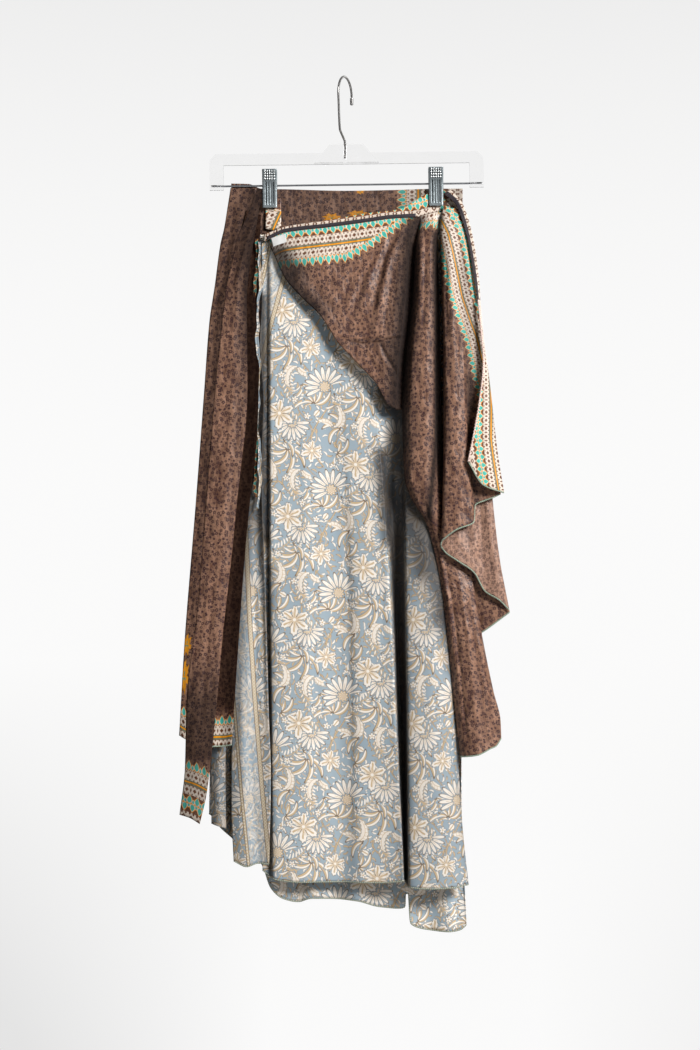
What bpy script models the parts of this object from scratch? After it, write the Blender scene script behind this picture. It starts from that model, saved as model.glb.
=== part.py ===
"""Two-layer wrap skirt of printed satin, pinned on a clear hanger with two metal clips.

The origin is the point where the hook hangs: the underside of its top arc. +Z is up, the front of
the skirt faces -Y. Lengths in the tables are millimetres and become metres when a mesh is made.

A cloth panel is a loft across its folds. Each fold is one row, a chain of points down the cloth:
    (drop below the hang point, distance across, distance out towards the front)
The first point lies on the panel's top edge and the last one on its hem or free edge.
"""

import math

import bmesh
import bpy
import numpy as np

MM = 0.001
GAP = 0.3                    # clearance at seams and between touching pieces

# cloth
WALL = 1.0                   # one layer of satin with its overlocked edge
BAND_WALL = 2.4              # the waistband, folded double over both layers
TIE_WALL = 1.6               # a tie, a strip sewn double
FALL_WALL = 1.4              # the waistband's loose end
WAIST_BACK_OUT = -2.75       # the back waistband's middle, just behind the rod
WAIST_BACK_DROP = 144
WAIST_BACK_DEPTH = 59        # from its top edge down to the seam
WAIST_BACK_LEFT = -148
WAIST_BACK_RIGHT = 153
RIBBON_DEPTH = 4.6           # the dark ribbon along the waistband's lower edge
RIBBON_LEFT = -101
RIBBON_RIGHT = 92

# hanger
HANGER_TILT = math.radians(0.7)
HANGER_MIDDLE = 2.0
HANGER_PIVOT_DROP = 127
BAR_HALF = 178
BAR_TOP = 97
BAR_LOW = 112
LEG_WIDTH = 18
LEG_LOW = 144
CORNER = 8
BODY_THICK = 5
BOSS_THICK = 10
BOSS_TOP = 87
BOSS_HALF = 22               # half its width at the top,
BOSS_SHOULDER = 31           # where it meets the bar's top edge,
BOSS_FOOT = 42               # and at its foot
WIRE_RADIUS = 1.5
HOOK_RADIUS = 23
HOOK_TURN = math.radians(68)
HOOK_HOLE_DEPTH = 40
SLEEVE_RADIUS = 2.3          # the sleeve on the hook's tip
SLEEVE_LENGTH = 10
ROD_RADIUS = 1.2
ROD_DROP = 138.8
ROD_HALF = 176
ROD_SOCKET = 15              # how deep the rod's ends sit in the legs
CLIP_WIDTH = 18.6
CLIP_CENTRES = {"left": -98.0, "right": 118.0}
CLIP_SHEET = 1.0
PIVOT_RADIUS = 3.6
PIVOT_LENGTH = 14

# The hook's wire from the boss up to its arc, in its own plane. Columns: sideways, up.
HOOK_SHANK = (
    (0, -105),
    (0, -84),
    (-1.5, -81),
    (-16.6, -70.5),
    (-18.4, -67),
    (-21, -45),
)
HOOK_ARC = (182, -1)         # the angles where the arc starts and ends, in degrees

# One spring plate of a clip, seen from the side. Columns: out, drop below the rod.
CLIP_PLATE = (
    (8.6, -21),
    (5.6, -4),
    (5.0, 3),
    (4.9, 27),
    (6.2, 29),
)

# The front waistband droops from the left clip and rises into the right one.
# Columns: across, drop of its top edge, drop of its lower edge, out.
FRONT_BAND = (
    (-105, 204, 213, 5.0),
    (-77, 194, 201, 4.8),
    (-20, 185, 194, 4.2),
    (32, 176, 187, 3.6),
    (60, 173, 183, 3.2),
    (77, 169, 182, 2.8),
    (92, 159, 181, 2.2),
    (107, 151, 177, 1.5),
    (120, 147, 174, 1.0),
    (127, 147, 163, 1.0),
)

BAND_FALL = (
    ((150, 128, 1), (165, 144, 4), (183, 151, 8), (212, 159, 12), (263, 167, 18), (291, 172, 21)),
    ((148, 133, 1), (160, 146, 4), (183, 155, 8), (212, 162, 12), (263, 170, 18), (292, 173, 21)),
    ((146, 137, 1), (166, 153, 5), (203, 164, 11), (239, 170, 15), (278, 174, 19), (294, 174.5, 21)),
)

# A tab of the inner end, tucked into the left clip behind the drooping band.
TAB = (
    ((156, -103, 0.6), (196, -103, 2.4)),
    ((156, -94, 0.6), (198, -94, 2.4)),
    ((157, -83, 0.6), (194, -83, 2.2)),
)

LABEL = (
    ((209, -96, 8.0), (220, -93, 8.4)),
    ((203, -77, 8.0), (214, -76, 8.4)),
)

# Columns: across, drop of the back band's top edge, which sags between the clips.
BACK_BAND_TOP = (
    (-148, 137),
    (-126, 137.5),
    (-107, 144.2),
    (-89, 144.3),
    (0, 146.5),
    (60, 145.5),
    (118, 143.8),
    (153, 143.6),
)

TIE_BACK = (
    ((150, -151, 0.3), (170, -154, 0.5), (195, -157, 1.2), (217, -162, 1.8), (269, -169, 2.8),
     (316, -176, 3.5), (410, -183, 5), (558, -194, 7), (731, -208, 8), (854, -215, 8)),
    ((150, -131, 0.3), (170, -134, 0.8), (195, -139, 1.8), (217, -142, 3), (269, -151, 5),
     (410, -165, 8), (558, -177, 10), (731, -194, 11), (859, -204, 11)),
    ((152, -117, 0.3), (170, -117, 0.4), (195, -121, 0.8), (217, -125, 1.4), (269, -133, 2.5),
     (410, -147, 5), (558, -160, 7), (731, -178, 8), (858, -188, 8)),
)

TIE_FRONT = (
    ((144, -114, 2.6), (182, -128, 7.5), (211, -140, 11.5), (238, -146, 14), (278, -154, 18),
     (329, -160, 21), (386, -166, 24), (558, -180, 29), (679, -189, 32), (809, -204, 34),
     (894, -206, 34), (954, -213, 34)),
    ((144, -107.5, 2.6), (167, -115, 3.6), (184, -120, 8), (211, -129, 12.5), (289, -142, 21),
     (419, -150, 28), (558, -160, 32), (718, -176, 35.5), (894, -191, 36), (958, -200, 35)),
    ((146, -101, 2.6), (172, -112, 2.8), (187, -114, 7.5), (211, -118, 11.5), (250, -124, 15),
     (289, -127, 18), (406, -126, 24), (558, -140, 29), (630, -147, 31), (718, -157, 33),
     (809, -165, 34), (896, -174, 34), (932, -179, 34), (966, -187, 34)),
)

OUTER_LEFT = (
    ((172, -128, 2.6), (211, -136, 6), (289, -147, 11), (419, -157, 16), (558, -168, 20),
     (718, -181, 23), (864, -185, 24)),
    ((174, -122, 2.4), (211, -127, 7), (289, -133, 14), (419, -139, 19), (558, -152, 23),
     (718, -168, 26), (866, -172, 27)),
    ((176, -116, 1.8), (211, -120, 5), (289, -121, 10), (419, -125, 15), (558, -135, 19),
     (718, -150, 22), (866, -159, 23)),
    ((178, -109, 1.6), (211, -110, 5), (328, -110, 12), (419, -112, 16), (458, -113, 17),
     (510, -118, 19), (562, -124, 20), (616, -129, 22), (698, -135, 23), (864, -146, 26)),
)

UNDER_LEFT = (
    ((211, -120, 1.8), (419, -129, 7), (558, -136, 10), (718, -142, 13), (818, -146, 15),
     (944, -147, 17), (1015, -144, 18)),
    ((211, -116, 2), (419, -121, 9), (611, -125, 13), (718, -126, 16), (818, -129, 19),
     (944, -133, 21), (1022, -127, 22)),
    ((211, -112, 1.8), (419, -113, 7), (611, -114, 10), (818, -113, 14), (1018, -112, 17)),
    ((211, -108, 3), (289, -107, 7), (341, -110, 8), (419, -105, 11), (510, -108, 13),
     (614, -105, 15), (705, -102, 16), (818, -99, 17), (902, -96, 18), (1019, -98, 19)),
)

UNDER_FRONT = (
    ((214, -112, 0.2), (419, -112, 3), (614, -110, 5), (809, -108, 6), (1028, -107, 8)),
    ((214, -103, 0.3), (419, -101, 2.5), (614, -100, 4), (809, -98, 5), (1035, -98, 8)),
    ((213, -95, 4), (419, -95, 9), (614, -95, 12), (809, -94, 14), (1039, -91, 16)),
    ((208, -78, 4.3), (419, -72, 9), (679, -64, 13), (1043, -58, 16)),
    ((203, -58, 4.2), (419, -46, 6), (679, -32, 8), (1043, -29, 9)),
    ((198, -35, 4), (419, -22, 9), (679, -6, 15), (1043, 0, 19)),
    ((194, -10, 3.8), (419, 0, 7), (679, 20, 9), (1043, 27, 11)),
    ((190, 20, 3.4), (419, 22, 9), (679, 40, 15), (1043, 51, 18)),
    ((185, 52, 2.6), (419, 40, 8), (549, 51, 15), (705, 58, 22), (874, 67, 25), (1040, 75, 27)),
    ((183, 62, 2), (419, 56, 5), (549, 62, 7), (705, 69, 8), (874, 74, 9), (1045, 79, 9)),
    ((182, 74, 1.8), (419, 74, 6), (549, 79, 14), (705, 81, 22), (885, 83, 26), (1052, 84, 27)),
    ((181, 95, 1.4), (419, 91, 7), (705, 105, 24), (885, 110, 29), (1054, 110, 31)),
    ((178, 113, 0.8), (419, 108, 6), (705, 129, 17), (885, 135, 22), (1053, 138, 26)),
    ((174, 131, 0.3), (419, 124, 4), (601, 136, 8), (783, 146, 11), (958, 155, 14), (1050, 164, 15)),
)

OUTER_SWEEP = (
    ((215, -98, 5.6), (221, -95, 6)),
    ((205, -79, 5.4), (260, -77, 9)),
    ((203, -58, 5.2), (243, -56, 9), (285, -55, 10)),
    ((200, -35, 5), (256, -32, 12), (309, -31, 12)),
    ((198, -10, 4.8), (263, -9, 12), (343, -9, 15)),
    ((194, 14, 4.6), (263, 16, 14), (370, 16, 17)),
    ((190, 39, 4.4), (263, 38, 16), (341, 38, 20), (396, 40, 18)),
    ((186, 64, 4), (237, 60, 16), (315, 55, 22), (380, 53, 22), (424, 56, 20)),
    ((183, 82, 3.6), (224, 75, 18), (286, 70, 24), (389, 62, 24), (429, 61, 20)),
    ((182, 95, 3), (224, 87, 6), (286, 82, 9), (389, 70, 12), (430, 69, 14)),
)

OUTER_PLEAT = (
    ((182, 98, 3), (224, 91, 6.5), (286, 86, 9.5), (389, 75, 12.5), (430, 74, 16), (520, 77, 20),
     (547, 86, 20), (576, 104, 20), (627, 118, 19), (679, 127, 18), (796, 140, 18), (880, 149, 18)),
    ((181, 100, 3.4), (224, 96, 20), (286, 95, 28), (389, 87, 32), (471, 86, 33), (520, 86, 34),
     (549, 94, 30), (588, 113, 23), (627, 126, 22), (679, 136, 24), (783, 148, 26), (879, 158, 26)),
    ((179, 109, 3.4), (224, 107, 24), (286, 107, 32), (389, 104, 36), (523, 103, 37),
     (588, 120, 25), (627, 135, 22), (679, 150, 25), (783, 161, 29), (877, 171, 30)),
    ((178, 116, 3.4), (224, 116, 22), (286, 116, 28), (471, 116, 30), (549, 118, 27),
     (601, 129, 22), (641, 147, 21.5), (679, 162, 22), (796, 180, 26), (869, 188, 26)),
    ((177, 120, 3), (224, 120, 6), (286, 122, 9), (389, 124, 12), (471, 126, 15), (549, 133, 16),
     (601, 147, 16.5), (641, 162, 17), (719, 176, 19), (796, 192, 20), (833, 201, 20), (856, 202, 20)),
)

OUTER_FALL = (
    ((166, 128.5, 3), (198, 124, 8), (263, 125, 14), (341, 127, 18), (419, 127, 20), (549, 127, 22),
     (607, 124, 30)),
    ((167, 132, 3.4), (198, 128, 14), (263, 128, 24), (341, 129, 28), (419, 131, 32),
     (523, 129, 35), (598, 130, 36)),
    ((169, 137, 3.6), (198, 135, 15), (263, 135, 28), (419, 142, 35), (523, 143, 38), (586, 144, 38)),
    ((177, 143, 3.6), (211, 144, 15), (263, 146, 24), (341, 150, 28), (419, 153, 33),
     (523, 159, 34), (576, 166, 34)),
    ((196, 150, 8), (263, 155, 17), (341, 159, 22), (419, 159, 24), (555, 168, 26)),
    ((225, 157, 12), (263, 161, 17), (341, 167, 21), (419, 171, 24), (549, 180, 26)),
    ((262, 164, 16), (300, 168, 18), (341, 172, 20), (419, 179, 23), (480, 186, 25), (545, 191, 27)),
    ((291, 171, 18), (312, 174, 18.5), (341, 177, 19), (393, 184, 21), (438, 189, 23),
     (490, 194, 25), (540, 201, 27)),
)

OUTER_FLAP = (
    ((290, 172.5, 25), (328, 176, 28), (370, 179, 32), (420, 174, 36), (460, 167, 40), (500, 159, 42)),
    ((291, 173.5, 25), (341, 178, 28), (393, 182, 33), (460, 180, 38), (529, 178, 40)),
    ((292, 174.5, 24), (341, 179, 25), (393, 186, 28), (438, 191, 29), (490, 197, 31), (539, 205, 32)),
)

OUTER_RETURN = (
    ((187, 133, 2.4), (289, 131, 10), (419, 133, 16), (523, 130, 20), (608, 126, 27)),
    ((187, 136, 2.4), (289, 139, 12), (419, 143, 19), (523, 143, 25), (627, 146, 30)),
    ((187, 142, 2.4), (289, 150, 11), (419, 157, 16), (523, 162, 20), (641, 166, 26)),
    ((190, 146, 2.4), (289, 156, 9), (419, 169, 14), (523, 176, 18), (666, 181, 22)),
    ((192, 148, 2.4), (289, 161, 8), (419, 176, 13), (523, 184, 18), (677, 199, 24)),
    ((195, 151, 2.4), (289, 165, 8), (419, 182, 13), (497, 187, 16), (549, 191, 18),
     (604, 197, 20), (650, 204, 21), (690, 212, 22)),
)

OUTER_TAIL = (
    ((458, 139, 9), (601, 157, 11), (723, 172, 13)),
    ((458, 162, 10), (601, 178, 13), (714, 185, 17)),
    ((458, 181, 10), (549, 187, 13), (604, 196, 15), (693, 213, 19)),
)

# The back layers hang from the back waistband between two edges: (drop, across).
OUTER_BACK_EDGES = (
    ((205, -147), (289, -166), (419, -178), (627, -194), (852, -204)),
    ((205, 152), (289, 162), (419, 173), (679, 174), (854, 192)),
)
UNDER_BACK_EDGES = (
    ((205, -144), (419, -166), (809, -174), (957, -176)),
    ((205, 150), (419, 160), (679, 158), (880, 148), (958, 152), (1106, 158)),
)
# Columns: share of the width, how far the fold stands off the layer, hem of each layer.
BACK_FOLDS = (
    (0.000, -0.2, 852, 958),
    (0.040, 0.5, 853, 974),
    (0.080, -0.6, 855, 985),
    (0.150, 1.0, 860, 1008),
    (0.205, 0.1, 864, 1022),
    (0.240, -0.9, 866, 1052),
    (0.285, -0.3, 869, 1068),
    (0.345, 0.8, 873, 1073),
    (0.400, -0.7, 876, 1068),
    (0.500, 0.7, 878, 1070),
    (0.575, -1.0, 878, 1072),
    (0.660, 0.4, 875, 1081),
    (0.735, -0.2, 870, 1083),
    (0.762, -0.3, 868, 1080),
    (0.767, -0.3, 868, 1060),
    (0.778, -0.3, 867, 1060),
    (0.784, -0.2, 867, 1102),
    (0.850, 0.9, 861, 1112),
    (0.930, -0.8, 856, 1114),
    (0.980, 0.0, 855, 1112),
    (1.000, 0.2, 854, 1107),
)
# Columns: drop, out of the outer layer, out of the under layer, depth of their folds.
BACK_FORM = (
    (203, -2.9, -1.4, 0.1),
    (260, -7, -2.6, 1.4),
    (340, -14, -5, 3.2),
    (480, -23, -9, 5.5),
    (640, -31, -14, 7.5),
    (860, -38, -19, 9.0),
    (1110, -42, -22, 10.0),
)
UNDER_FOLLOWS = 0.6          # the under layer's folds are this much of the outer layer's


def smooth(knots, values, places):
    """Values at the places, on a smooth curve through the knots that never overshoots them."""
    knots = np.asarray(knots, float)
    values = np.asarray(values, float)
    places = np.asarray(places, float)
    column = (-1,) + (1,) * (values.ndim - 1)
    step = np.diff(knots)
    slope = np.diff(values, axis=0) / step.reshape(column)
    tangent = np.zeros_like(values)
    tangent[0] = slope[0]
    tangent[-1] = slope[-1]
    before, after = slope[:-1], slope[1:]
    agree = before * after > 0
    total = np.where(agree, before + after, 1)
    tangent[1:-1] = np.where(agree, 2 * before * after / total, 0)
    at = np.clip(np.searchsorted(knots, places) - 1, 0, len(step) - 1)
    t = ((places - knots[at]) / step[at]).reshape(column)
    h = step[at].reshape(column)
    start = (1 + 2 * t) * (1 - t) ** 2 * values[at] + t * (1 - t) ** 2 * h * tangent[at]
    end = t * t * (3 - 2 * t) * values[at + 1] + t * t * (t - 1) * h * tangent[at + 1]
    return start + end


def down_fold(fold, shares):
    """The points of one fold at the given shares of its length: columns across, out, drop."""
    drop, across, out = np.array(fold, float).T
    at = drop[0] + (drop[-1] - drop[0]) * shares
    return np.column_stack((smooth(drop, across, at), smooth(drop, out, at), at))


def loft(folds, rows, per_fold):
    """A grid of points, rows down the cloth and per_fold steps between neighbouring folds."""
    shares = np.linspace(0, 1, rows + 1)
    chains = np.array([down_fold(fold, shares) for fold in folds])
    count = len(folds) - 1
    places = np.linspace(0, count, count * per_fold + 1)
    return smooth(np.arange(count + 1), chains, places).transpose(1, 0, 2)


def material(name, colour, roughness, metallic=0.0):
    made = bpy.data.materials.new(name)
    made.use_nodes = True
    shader = made.node_tree.nodes["Principled BSDF"]
    shader.inputs["Base Color"].default_value = (*colour, 1)
    shader.inputs["Roughness"].default_value = roughness
    shader.inputs["Metallic"].default_value = metallic
    return made


def add_object(name, data, look, parent=None):
    made = bpy.data.objects.new(name, data)
    made.data.materials.append(look)
    SKIRT.objects.link(made)
    made.parent = parent
    return made


def mesh_from(bm, name):
    mesh = bpy.data.meshes.new(name)
    bm.to_mesh(mesh)
    bm.free()
    return mesh


def cloth(name, grid, wall, look):
    """A panel of cloth: a flat grid moved onto the loft's points, then given its thickness."""
    rows, columns = grid.shape[0] - 1, grid.shape[1] - 1
    bm = bmesh.new()
    bmesh.ops.create_grid(bm, x_segments=columns, y_segments=rows, size=0.5)
    for vertex in bm.verts:
        column = round((vertex.co.x + 0.5) * columns)
        row = round((0.5 - vertex.co.y) * rows)
        across, out, drop = grid[row, column]
        vertex.co = (across * MM, -out * MM, -drop * MM)
    panel = add_object(name, mesh_from(bm, name), look)
    panel.data.shade_smooth()
    thick = panel.modifiers.new("thickness", "SOLIDIFY")
    thick.thickness = wall * MM
    thick.offset = 0
    return panel


def moved_out(grid, distance):
    """The same grid, lifted off the front of the cloth it lies on."""
    down = np.gradient(grid, axis=0)
    sideways = np.gradient(grid, axis=1)
    normal = np.cross(sideways, down)
    normal *= np.sign(normal[..., 1:2])
    return grid + distance * normal / np.linalg.norm(normal, axis=-1, keepdims=True)


def front_band_at(across):
    """Top edge, lower edge and out of the front waistband at places across."""
    table = np.array(FRONT_BAND, float)
    return smooth(table[:, 0], table[:, 1:], across).T


def hung_from_band(folds, out_change=0.0):
    """The same folds, each starting just under the front waistband."""
    hung = []
    for fold in folds:
        start = fold[0]
        _, foot, out = front_band_at(np.array([float(start[1])]))[:, 0]
        top = (max(start[0], foot + GAP), start[1], start[2] + out_change)
        hung.append((top, *fold[1:]))
    return hung


def make_waistband():
    """The back band across both clips, the drooping front band and its end that falls at the side."""
    brown = material("waistband_cloth", (0.16, 0.09, 0.06), 0.4)
    places = np.linspace(WAIST_BACK_LEFT, WAIST_BACK_RIGHT, 31)
    top_edge = np.array(BACK_BAND_TOP, float)
    upper = smooth(top_edge[:, 0], top_edge[:, 1], places)
    lower = np.full_like(places, WAIST_BACK_DROP + WAIST_BACK_DEPTH)
    out = np.full_like(places, WAIST_BACK_OUT)
    rows = [np.column_stack((places, out, drop)) for drop in (upper, (upper + lower) / 2, lower)]
    cloth("waistband_back", np.array(rows), BAND_WALL, brown)

    places = np.linspace(FRONT_BAND[0][0], FRONT_BAND[-1][0], 29)
    top, foot, out = front_band_at(places)
    middle = (top + foot) / 2
    rows = [np.column_stack((places, out, drop)) for drop in (top, middle, foot)]
    cloth("waistband_front", np.array(rows), BAND_WALL, brown)
    cloth("waistband_fall", loft(BAND_FALL, 12, 2), FALL_WALL, brown)
    cloth("waistband_tab", loft(TAB, 4, 2), WALL, brown)


def make_bindings():
    """The dark ribbon sewn along the lower edge of the front band, and down its falling end."""
    dark = material("binding_ribbon", (0.02, 0.015, 0.025), 0.5)
    lift = (BAND_WALL + WALL) / 2 + GAP
    places = np.linspace(RIBBON_LEFT, RIBBON_RIGHT, 25)
    _, foot, out = front_band_at(places)
    rows = [np.column_stack((places, out + lift, foot - RIBBON_DEPTH * share)) for share in (1, 0)]
    cloth("binding_front", np.array(rows), WALL, dark)
    fall = loft(BAND_FALL, 12, 2)[:, :3]
    cloth("binding_fall", moved_out(fall, (FALL_WALL + WALL) / 2 + GAP), WALL, dark)


def make_label():
    white = material("label_cloth", (0.75, 0.74, 0.72), 0.7)
    cloth("label", loft(LABEL, 2, 4), WALL, white)


def make_ties():
    brown = material("tie_cloth", (0.14, 0.08, 0.06), 0.4)
    cloth("tie_back", loft(TIE_BACK, 22, 2), TIE_WALL, brown)
    cloth("tie_front", loft(TIE_FRONT, 26, 2), TIE_WALL, brown)


def make_outer_layer():
    """The brown layer: swept across the front, pleated and cascading at the right, flat behind."""
    brown = material("outer_satin", (0.15, 0.085, 0.06), 0.35)
    cloth("outer_left", loft(OUTER_LEFT, 16, 3), WALL, brown)
    cloth("outer_sweep", loft(hung_from_band(OUTER_SWEEP, 0.2), 10, 2), WALL, brown)
    cloth("outer_pleat", loft(hung_from_band(OUTER_PLEAT), 22, 3), WALL, brown)
    cloth("outer_fall", loft(OUTER_FALL, 16, 2), WALL, brown)
    cloth("outer_flap", loft(OUTER_FLAP, 10, 2), WALL, brown)
    cloth("outer_return", loft(OUTER_RETURN, 16, 2), WALL, brown)
    cloth("outer_tail", loft(OUTER_TAIL, 6, 3), WALL, brown)


def make_under_layer():
    """The blue layer, which shows below and beside the brown one."""
    blue = material("under_cotton", (0.33, 0.42, 0.52), 0.6)
    cloth("under_left", loft(UNDER_LEFT, 16, 3), WALL, blue)
    cloth("under_front", loft(hung_from_band(UNDER_FRONT, -0.5), 14, 2), WALL, blue)


def back_panel(edges, layer):
    """One back layer, 0 outer or 1 under: its folds lie at shares of the width and deepen below."""
    form = np.array(BACK_FORM, float)
    left, right = (np.array(edge, float) for edge in edges)
    follows = (1, UNDER_FOLLOWS)[layer]
    top = WAIST_BACK_DROP + WAIST_BACK_DEPTH + GAP
    folds = []
    for share, stand, *hems in BACK_FOLDS:
        drops = np.linspace(top, hems[layer], 7)
        start = smooth(left[:, 0], left[:, 1], np.clip(drops, *left[[0, -1], 0]))
        end = smooth(right[:, 0], right[:, 1], np.clip(drops, *right[[0, -1], 0]))
        base, depth = smooth(form[:, 0], form[:, (1 + layer, 3)], drops).T
        out = base - stand * depth * follows
        folds.append(np.column_stack((drops, start + share * (end - start), out)))
    return folds


def make_back():
    brown = material("outer_satin_back", (0.15, 0.085, 0.06), 0.35)
    blue = material("under_cotton_back", (0.30, 0.38, 0.46), 0.6)
    cloth("outer_back", loft(back_panel(OUTER_BACK_EDGES, 0), 8, 2), WALL, brown)
    cloth("under_back", loft(back_panel(UNDER_BACK_EDGES, 1), 9, 2), WALL, blue)


def flat_outline(name, points, thick, look, parent):
    """A flat outline in X and Y, filled and extruded to both sides."""
    curve = bpy.data.curves.new(name, "CURVE")
    curve.dimensions = "2D"
    curve.fill_mode = "BOTH"
    curve.extrude = thick / 2 * MM
    spline = curve.splines.new("POLY")
    spline.points.add(len(points) - 1)
    for place, (x, y) in zip(spline.points, points):
        place.co = (x * MM, y * MM, 0, 1)
    spline.use_cyclic_u = True
    return add_object(name, curve, look, parent)


def as_mesh(made):
    """The curve object's mesh with its caps welded, under the same name and place."""
    depsgraph = bpy.context.evaluated_depsgraph_get()
    mesh = bpy.data.meshes.new_from_object(made.evaluated_get(depsgraph))
    bm = bmesh.new()
    bm.from_mesh(mesh)
    bmesh.ops.remove_doubles(bm, verts=bm.verts, dist=0.00001)
    bm.to_mesh(mesh)
    bm.free()
    name, look = made.name, made.data.materials[0]
    parent, place, turn = made.parent, made.location.copy(), made.rotation_euler.copy()
    bpy.data.objects.remove(made)
    solid = bpy.data.objects.new(name, mesh)
    if not mesh.materials:
        mesh.materials.append(look)
    SKIRT.objects.link(solid)
    solid.parent = parent
    solid.location = place
    solid.rotation_euler = turn
    return solid


def cutter(name, radius, length, place, turn, parent):
    """A cylinder that only cuts: it is never part of the object."""
    bm = bmesh.new()
    bmesh.ops.create_cone(bm, cap_ends=True, segments=16, radius1=radius * MM,
                          radius2=radius * MM, depth=length * MM)
    tool = bpy.data.objects.new(name, mesh_from(bm, name))
    tool.location = [value * MM for value in place]
    tool.rotation_euler = turn
    tool.parent = parent
    tool.hide_render = True
    tool.display_type = "WIRE"
    CUTTERS.objects.link(tool)
    return tool


def level(drop):
    """Height of a drop in the tilted hanger's own frame, whose middle is the pivot."""
    return HANGER_PIVOT_DROP - drop


def make_hanger_body(frame):
    """The clear bar with its two end legs and the thicker boss that holds the hook."""
    clear = material("clear_plastic", (0.8, 0.83, 0.85), 0.1)
    inner = BAR_HALF - LEG_WIDTH
    outline = [
        (-BAR_HALF + CORNER, level(BAR_TOP)), (-BOSS_SHOULDER, level(BAR_TOP)),
        (-BOSS_HALF, level(BOSS_TOP)), (BOSS_HALF, level(BOSS_TOP)),
        (BOSS_SHOULDER, level(BAR_TOP)), (BAR_HALF - CORNER, level(BAR_TOP)),
        (BAR_HALF, level(BAR_TOP + CORNER)), (BAR_HALF, level(LEG_LOW)), (inner, level(LEG_LOW)),
        (inner, level(BAR_LOW)), (-inner, level(BAR_LOW)), (-inner, level(LEG_LOW)),
        (-BAR_HALF, level(LEG_LOW)), (-BAR_HALF, level(BAR_TOP + CORNER)),
    ]
    upright = (math.radians(90), 0, 0)
    body = flat_outline("hanger_body", outline, BODY_THICK, clear, frame)
    body.rotation_euler = upright
    body = as_mesh(body)
    low, high = level(BAR_LOW - 2), level(BOSS_TOP - 1)
    boss_outline = [(-BOSS_FOOT, low), (-BOSS_HALF, high), (BOSS_HALF, high), (BOSS_FOOT, low)]
    boss = flat_outline("boss_block", boss_outline, BOSS_THICK, clear, frame)
    boss.rotation_euler = upright
    boss = as_mesh(boss)
    SKIRT.objects.unlink(boss)
    CUTTERS.objects.link(boss)
    boss.hide_render = True
    boss.display_type = "WIRE"
    join = body.modifiers.new("boss", "BOOLEAN")
    join.operation = "UNION"
    join.object = boss
    along_x = (0, math.radians(90), 0)
    hook_foot = -HOOK_SHANK[0][1]
    hole_level = level(hook_foot + 2 * GAP) + HOOK_HOLE_DEPTH / 2
    lean = hole_level * math.tan(HANGER_TILT)
    tools = [cutter("hook_hole", WIRE_RADIUS + 0.5, HOOK_HOLE_DEPTH,
                    (lean - HANGER_MIDDLE, 0, hole_level), (0, HANGER_TILT, 0), frame)]
    for side in (-1, 1):
        socket = side * (ROD_HALF + GAP - ROD_SOCKET)
        tools.append(cutter(f"rod_hole_{side}", ROD_RADIUS + GAP, 2 * ROD_SOCKET,
                            (socket, 0, level(ROD_DROP)), along_x, frame))
    for tool in tools:
        cut = body.modifiers.new(tool.name, "BOOLEAN")
        cut.operation = "DIFFERENCE"
        cut.object = tool
    return body


def make_rod(frame):
    steel = material("rod_steel", (0.35, 0.36, 0.38), 0.35, 1.0)
    bm = bmesh.new()
    bmesh.ops.create_cone(bm, cap_ends=True, segments=12, radius1=ROD_RADIUS * MM,
                          radius2=ROD_RADIUS * MM, depth=2 * ROD_HALF * MM)
    rod = add_object("hanger_rod", mesh_from(bm, "hanger_rod"), steel, frame)
    rod.rotation_euler = (0, math.radians(90), 0)
    rod.location.z = level(ROD_DROP) * MM
    return rod


def hook_path():
    """The wire's route in the hook's own plane: (sideways, up), from the boss to the tip."""
    arc_middle = WIRE_RADIUS - HOOK_RADIUS
    route = list(HOOK_SHANK)
    start, end = (math.radians(angle) for angle in HOOK_ARC)
    for share in np.linspace(0, 1, 19):
        angle = start + (end - start) * share
        route.append((HOOK_RADIUS * math.cos(angle), arc_middle + HOOK_RADIUS * math.sin(angle)))
    return route


def make_hook():
    """A bent steel wire, turned out of the hanger's plane, with a sleeve on its tip."""
    steel = material("hook_steel", (0.45, 0.45, 0.46), 0.3, 1.0)
    route = hook_path()
    curve = bpy.data.curves.new("hanger_hook", "CURVE")
    curve.dimensions = "3D"
    curve.bevel_depth = WIRE_RADIUS * MM
    curve.bevel_resolution = 2
    curve.use_fill_caps = True
    spline = curve.splines.new("POLY")
    spline.points.add(len(route) - 1)
    for place, (sideways, up) in zip(spline.points, route):
        place.co = (sideways * MM, 0, up * MM, 1)
    hook = add_object("hanger_hook", curve, steel)
    hook.rotation_euler.z = HOOK_TURN

    tip_side, tip_up = route[-1]
    bm = bmesh.new()
    bmesh.ops.create_uvsphere(bm, u_segments=12, v_segments=8, radius=SLEEVE_RADIUS * MM)
    for vertex in bm.verts:
        if vertex.co.z > 0.1 * MM:
            vertex.co.z += (SLEEVE_LENGTH - 2 * SLEEVE_RADIUS) * MM
    tip = add_object("hanger_hook_tip", mesh_from(bm, "hanger_hook_tip"), steel)
    tip.data.shade_smooth()
    below = tip_up - GAP - SLEEVE_LENGTH + SLEEVE_RADIUS
    place = (tip_side * math.cos(HOOK_TURN), tip_side * math.sin(HOOK_TURN), below)
    tip.location = [value * MM for value in place]


def clip_profile(side):
    """One spring plate seen from the side: (out, height), bent at the rod and closing on the cloth."""
    half = CLIP_SHEET / 2
    outer = [(side * (out + half), -down) for out, down in CLIP_PLATE]
    inner = [(side * (out - half), -down) for out, down in reversed(CLIP_PLATE)]
    return outer + inner


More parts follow.
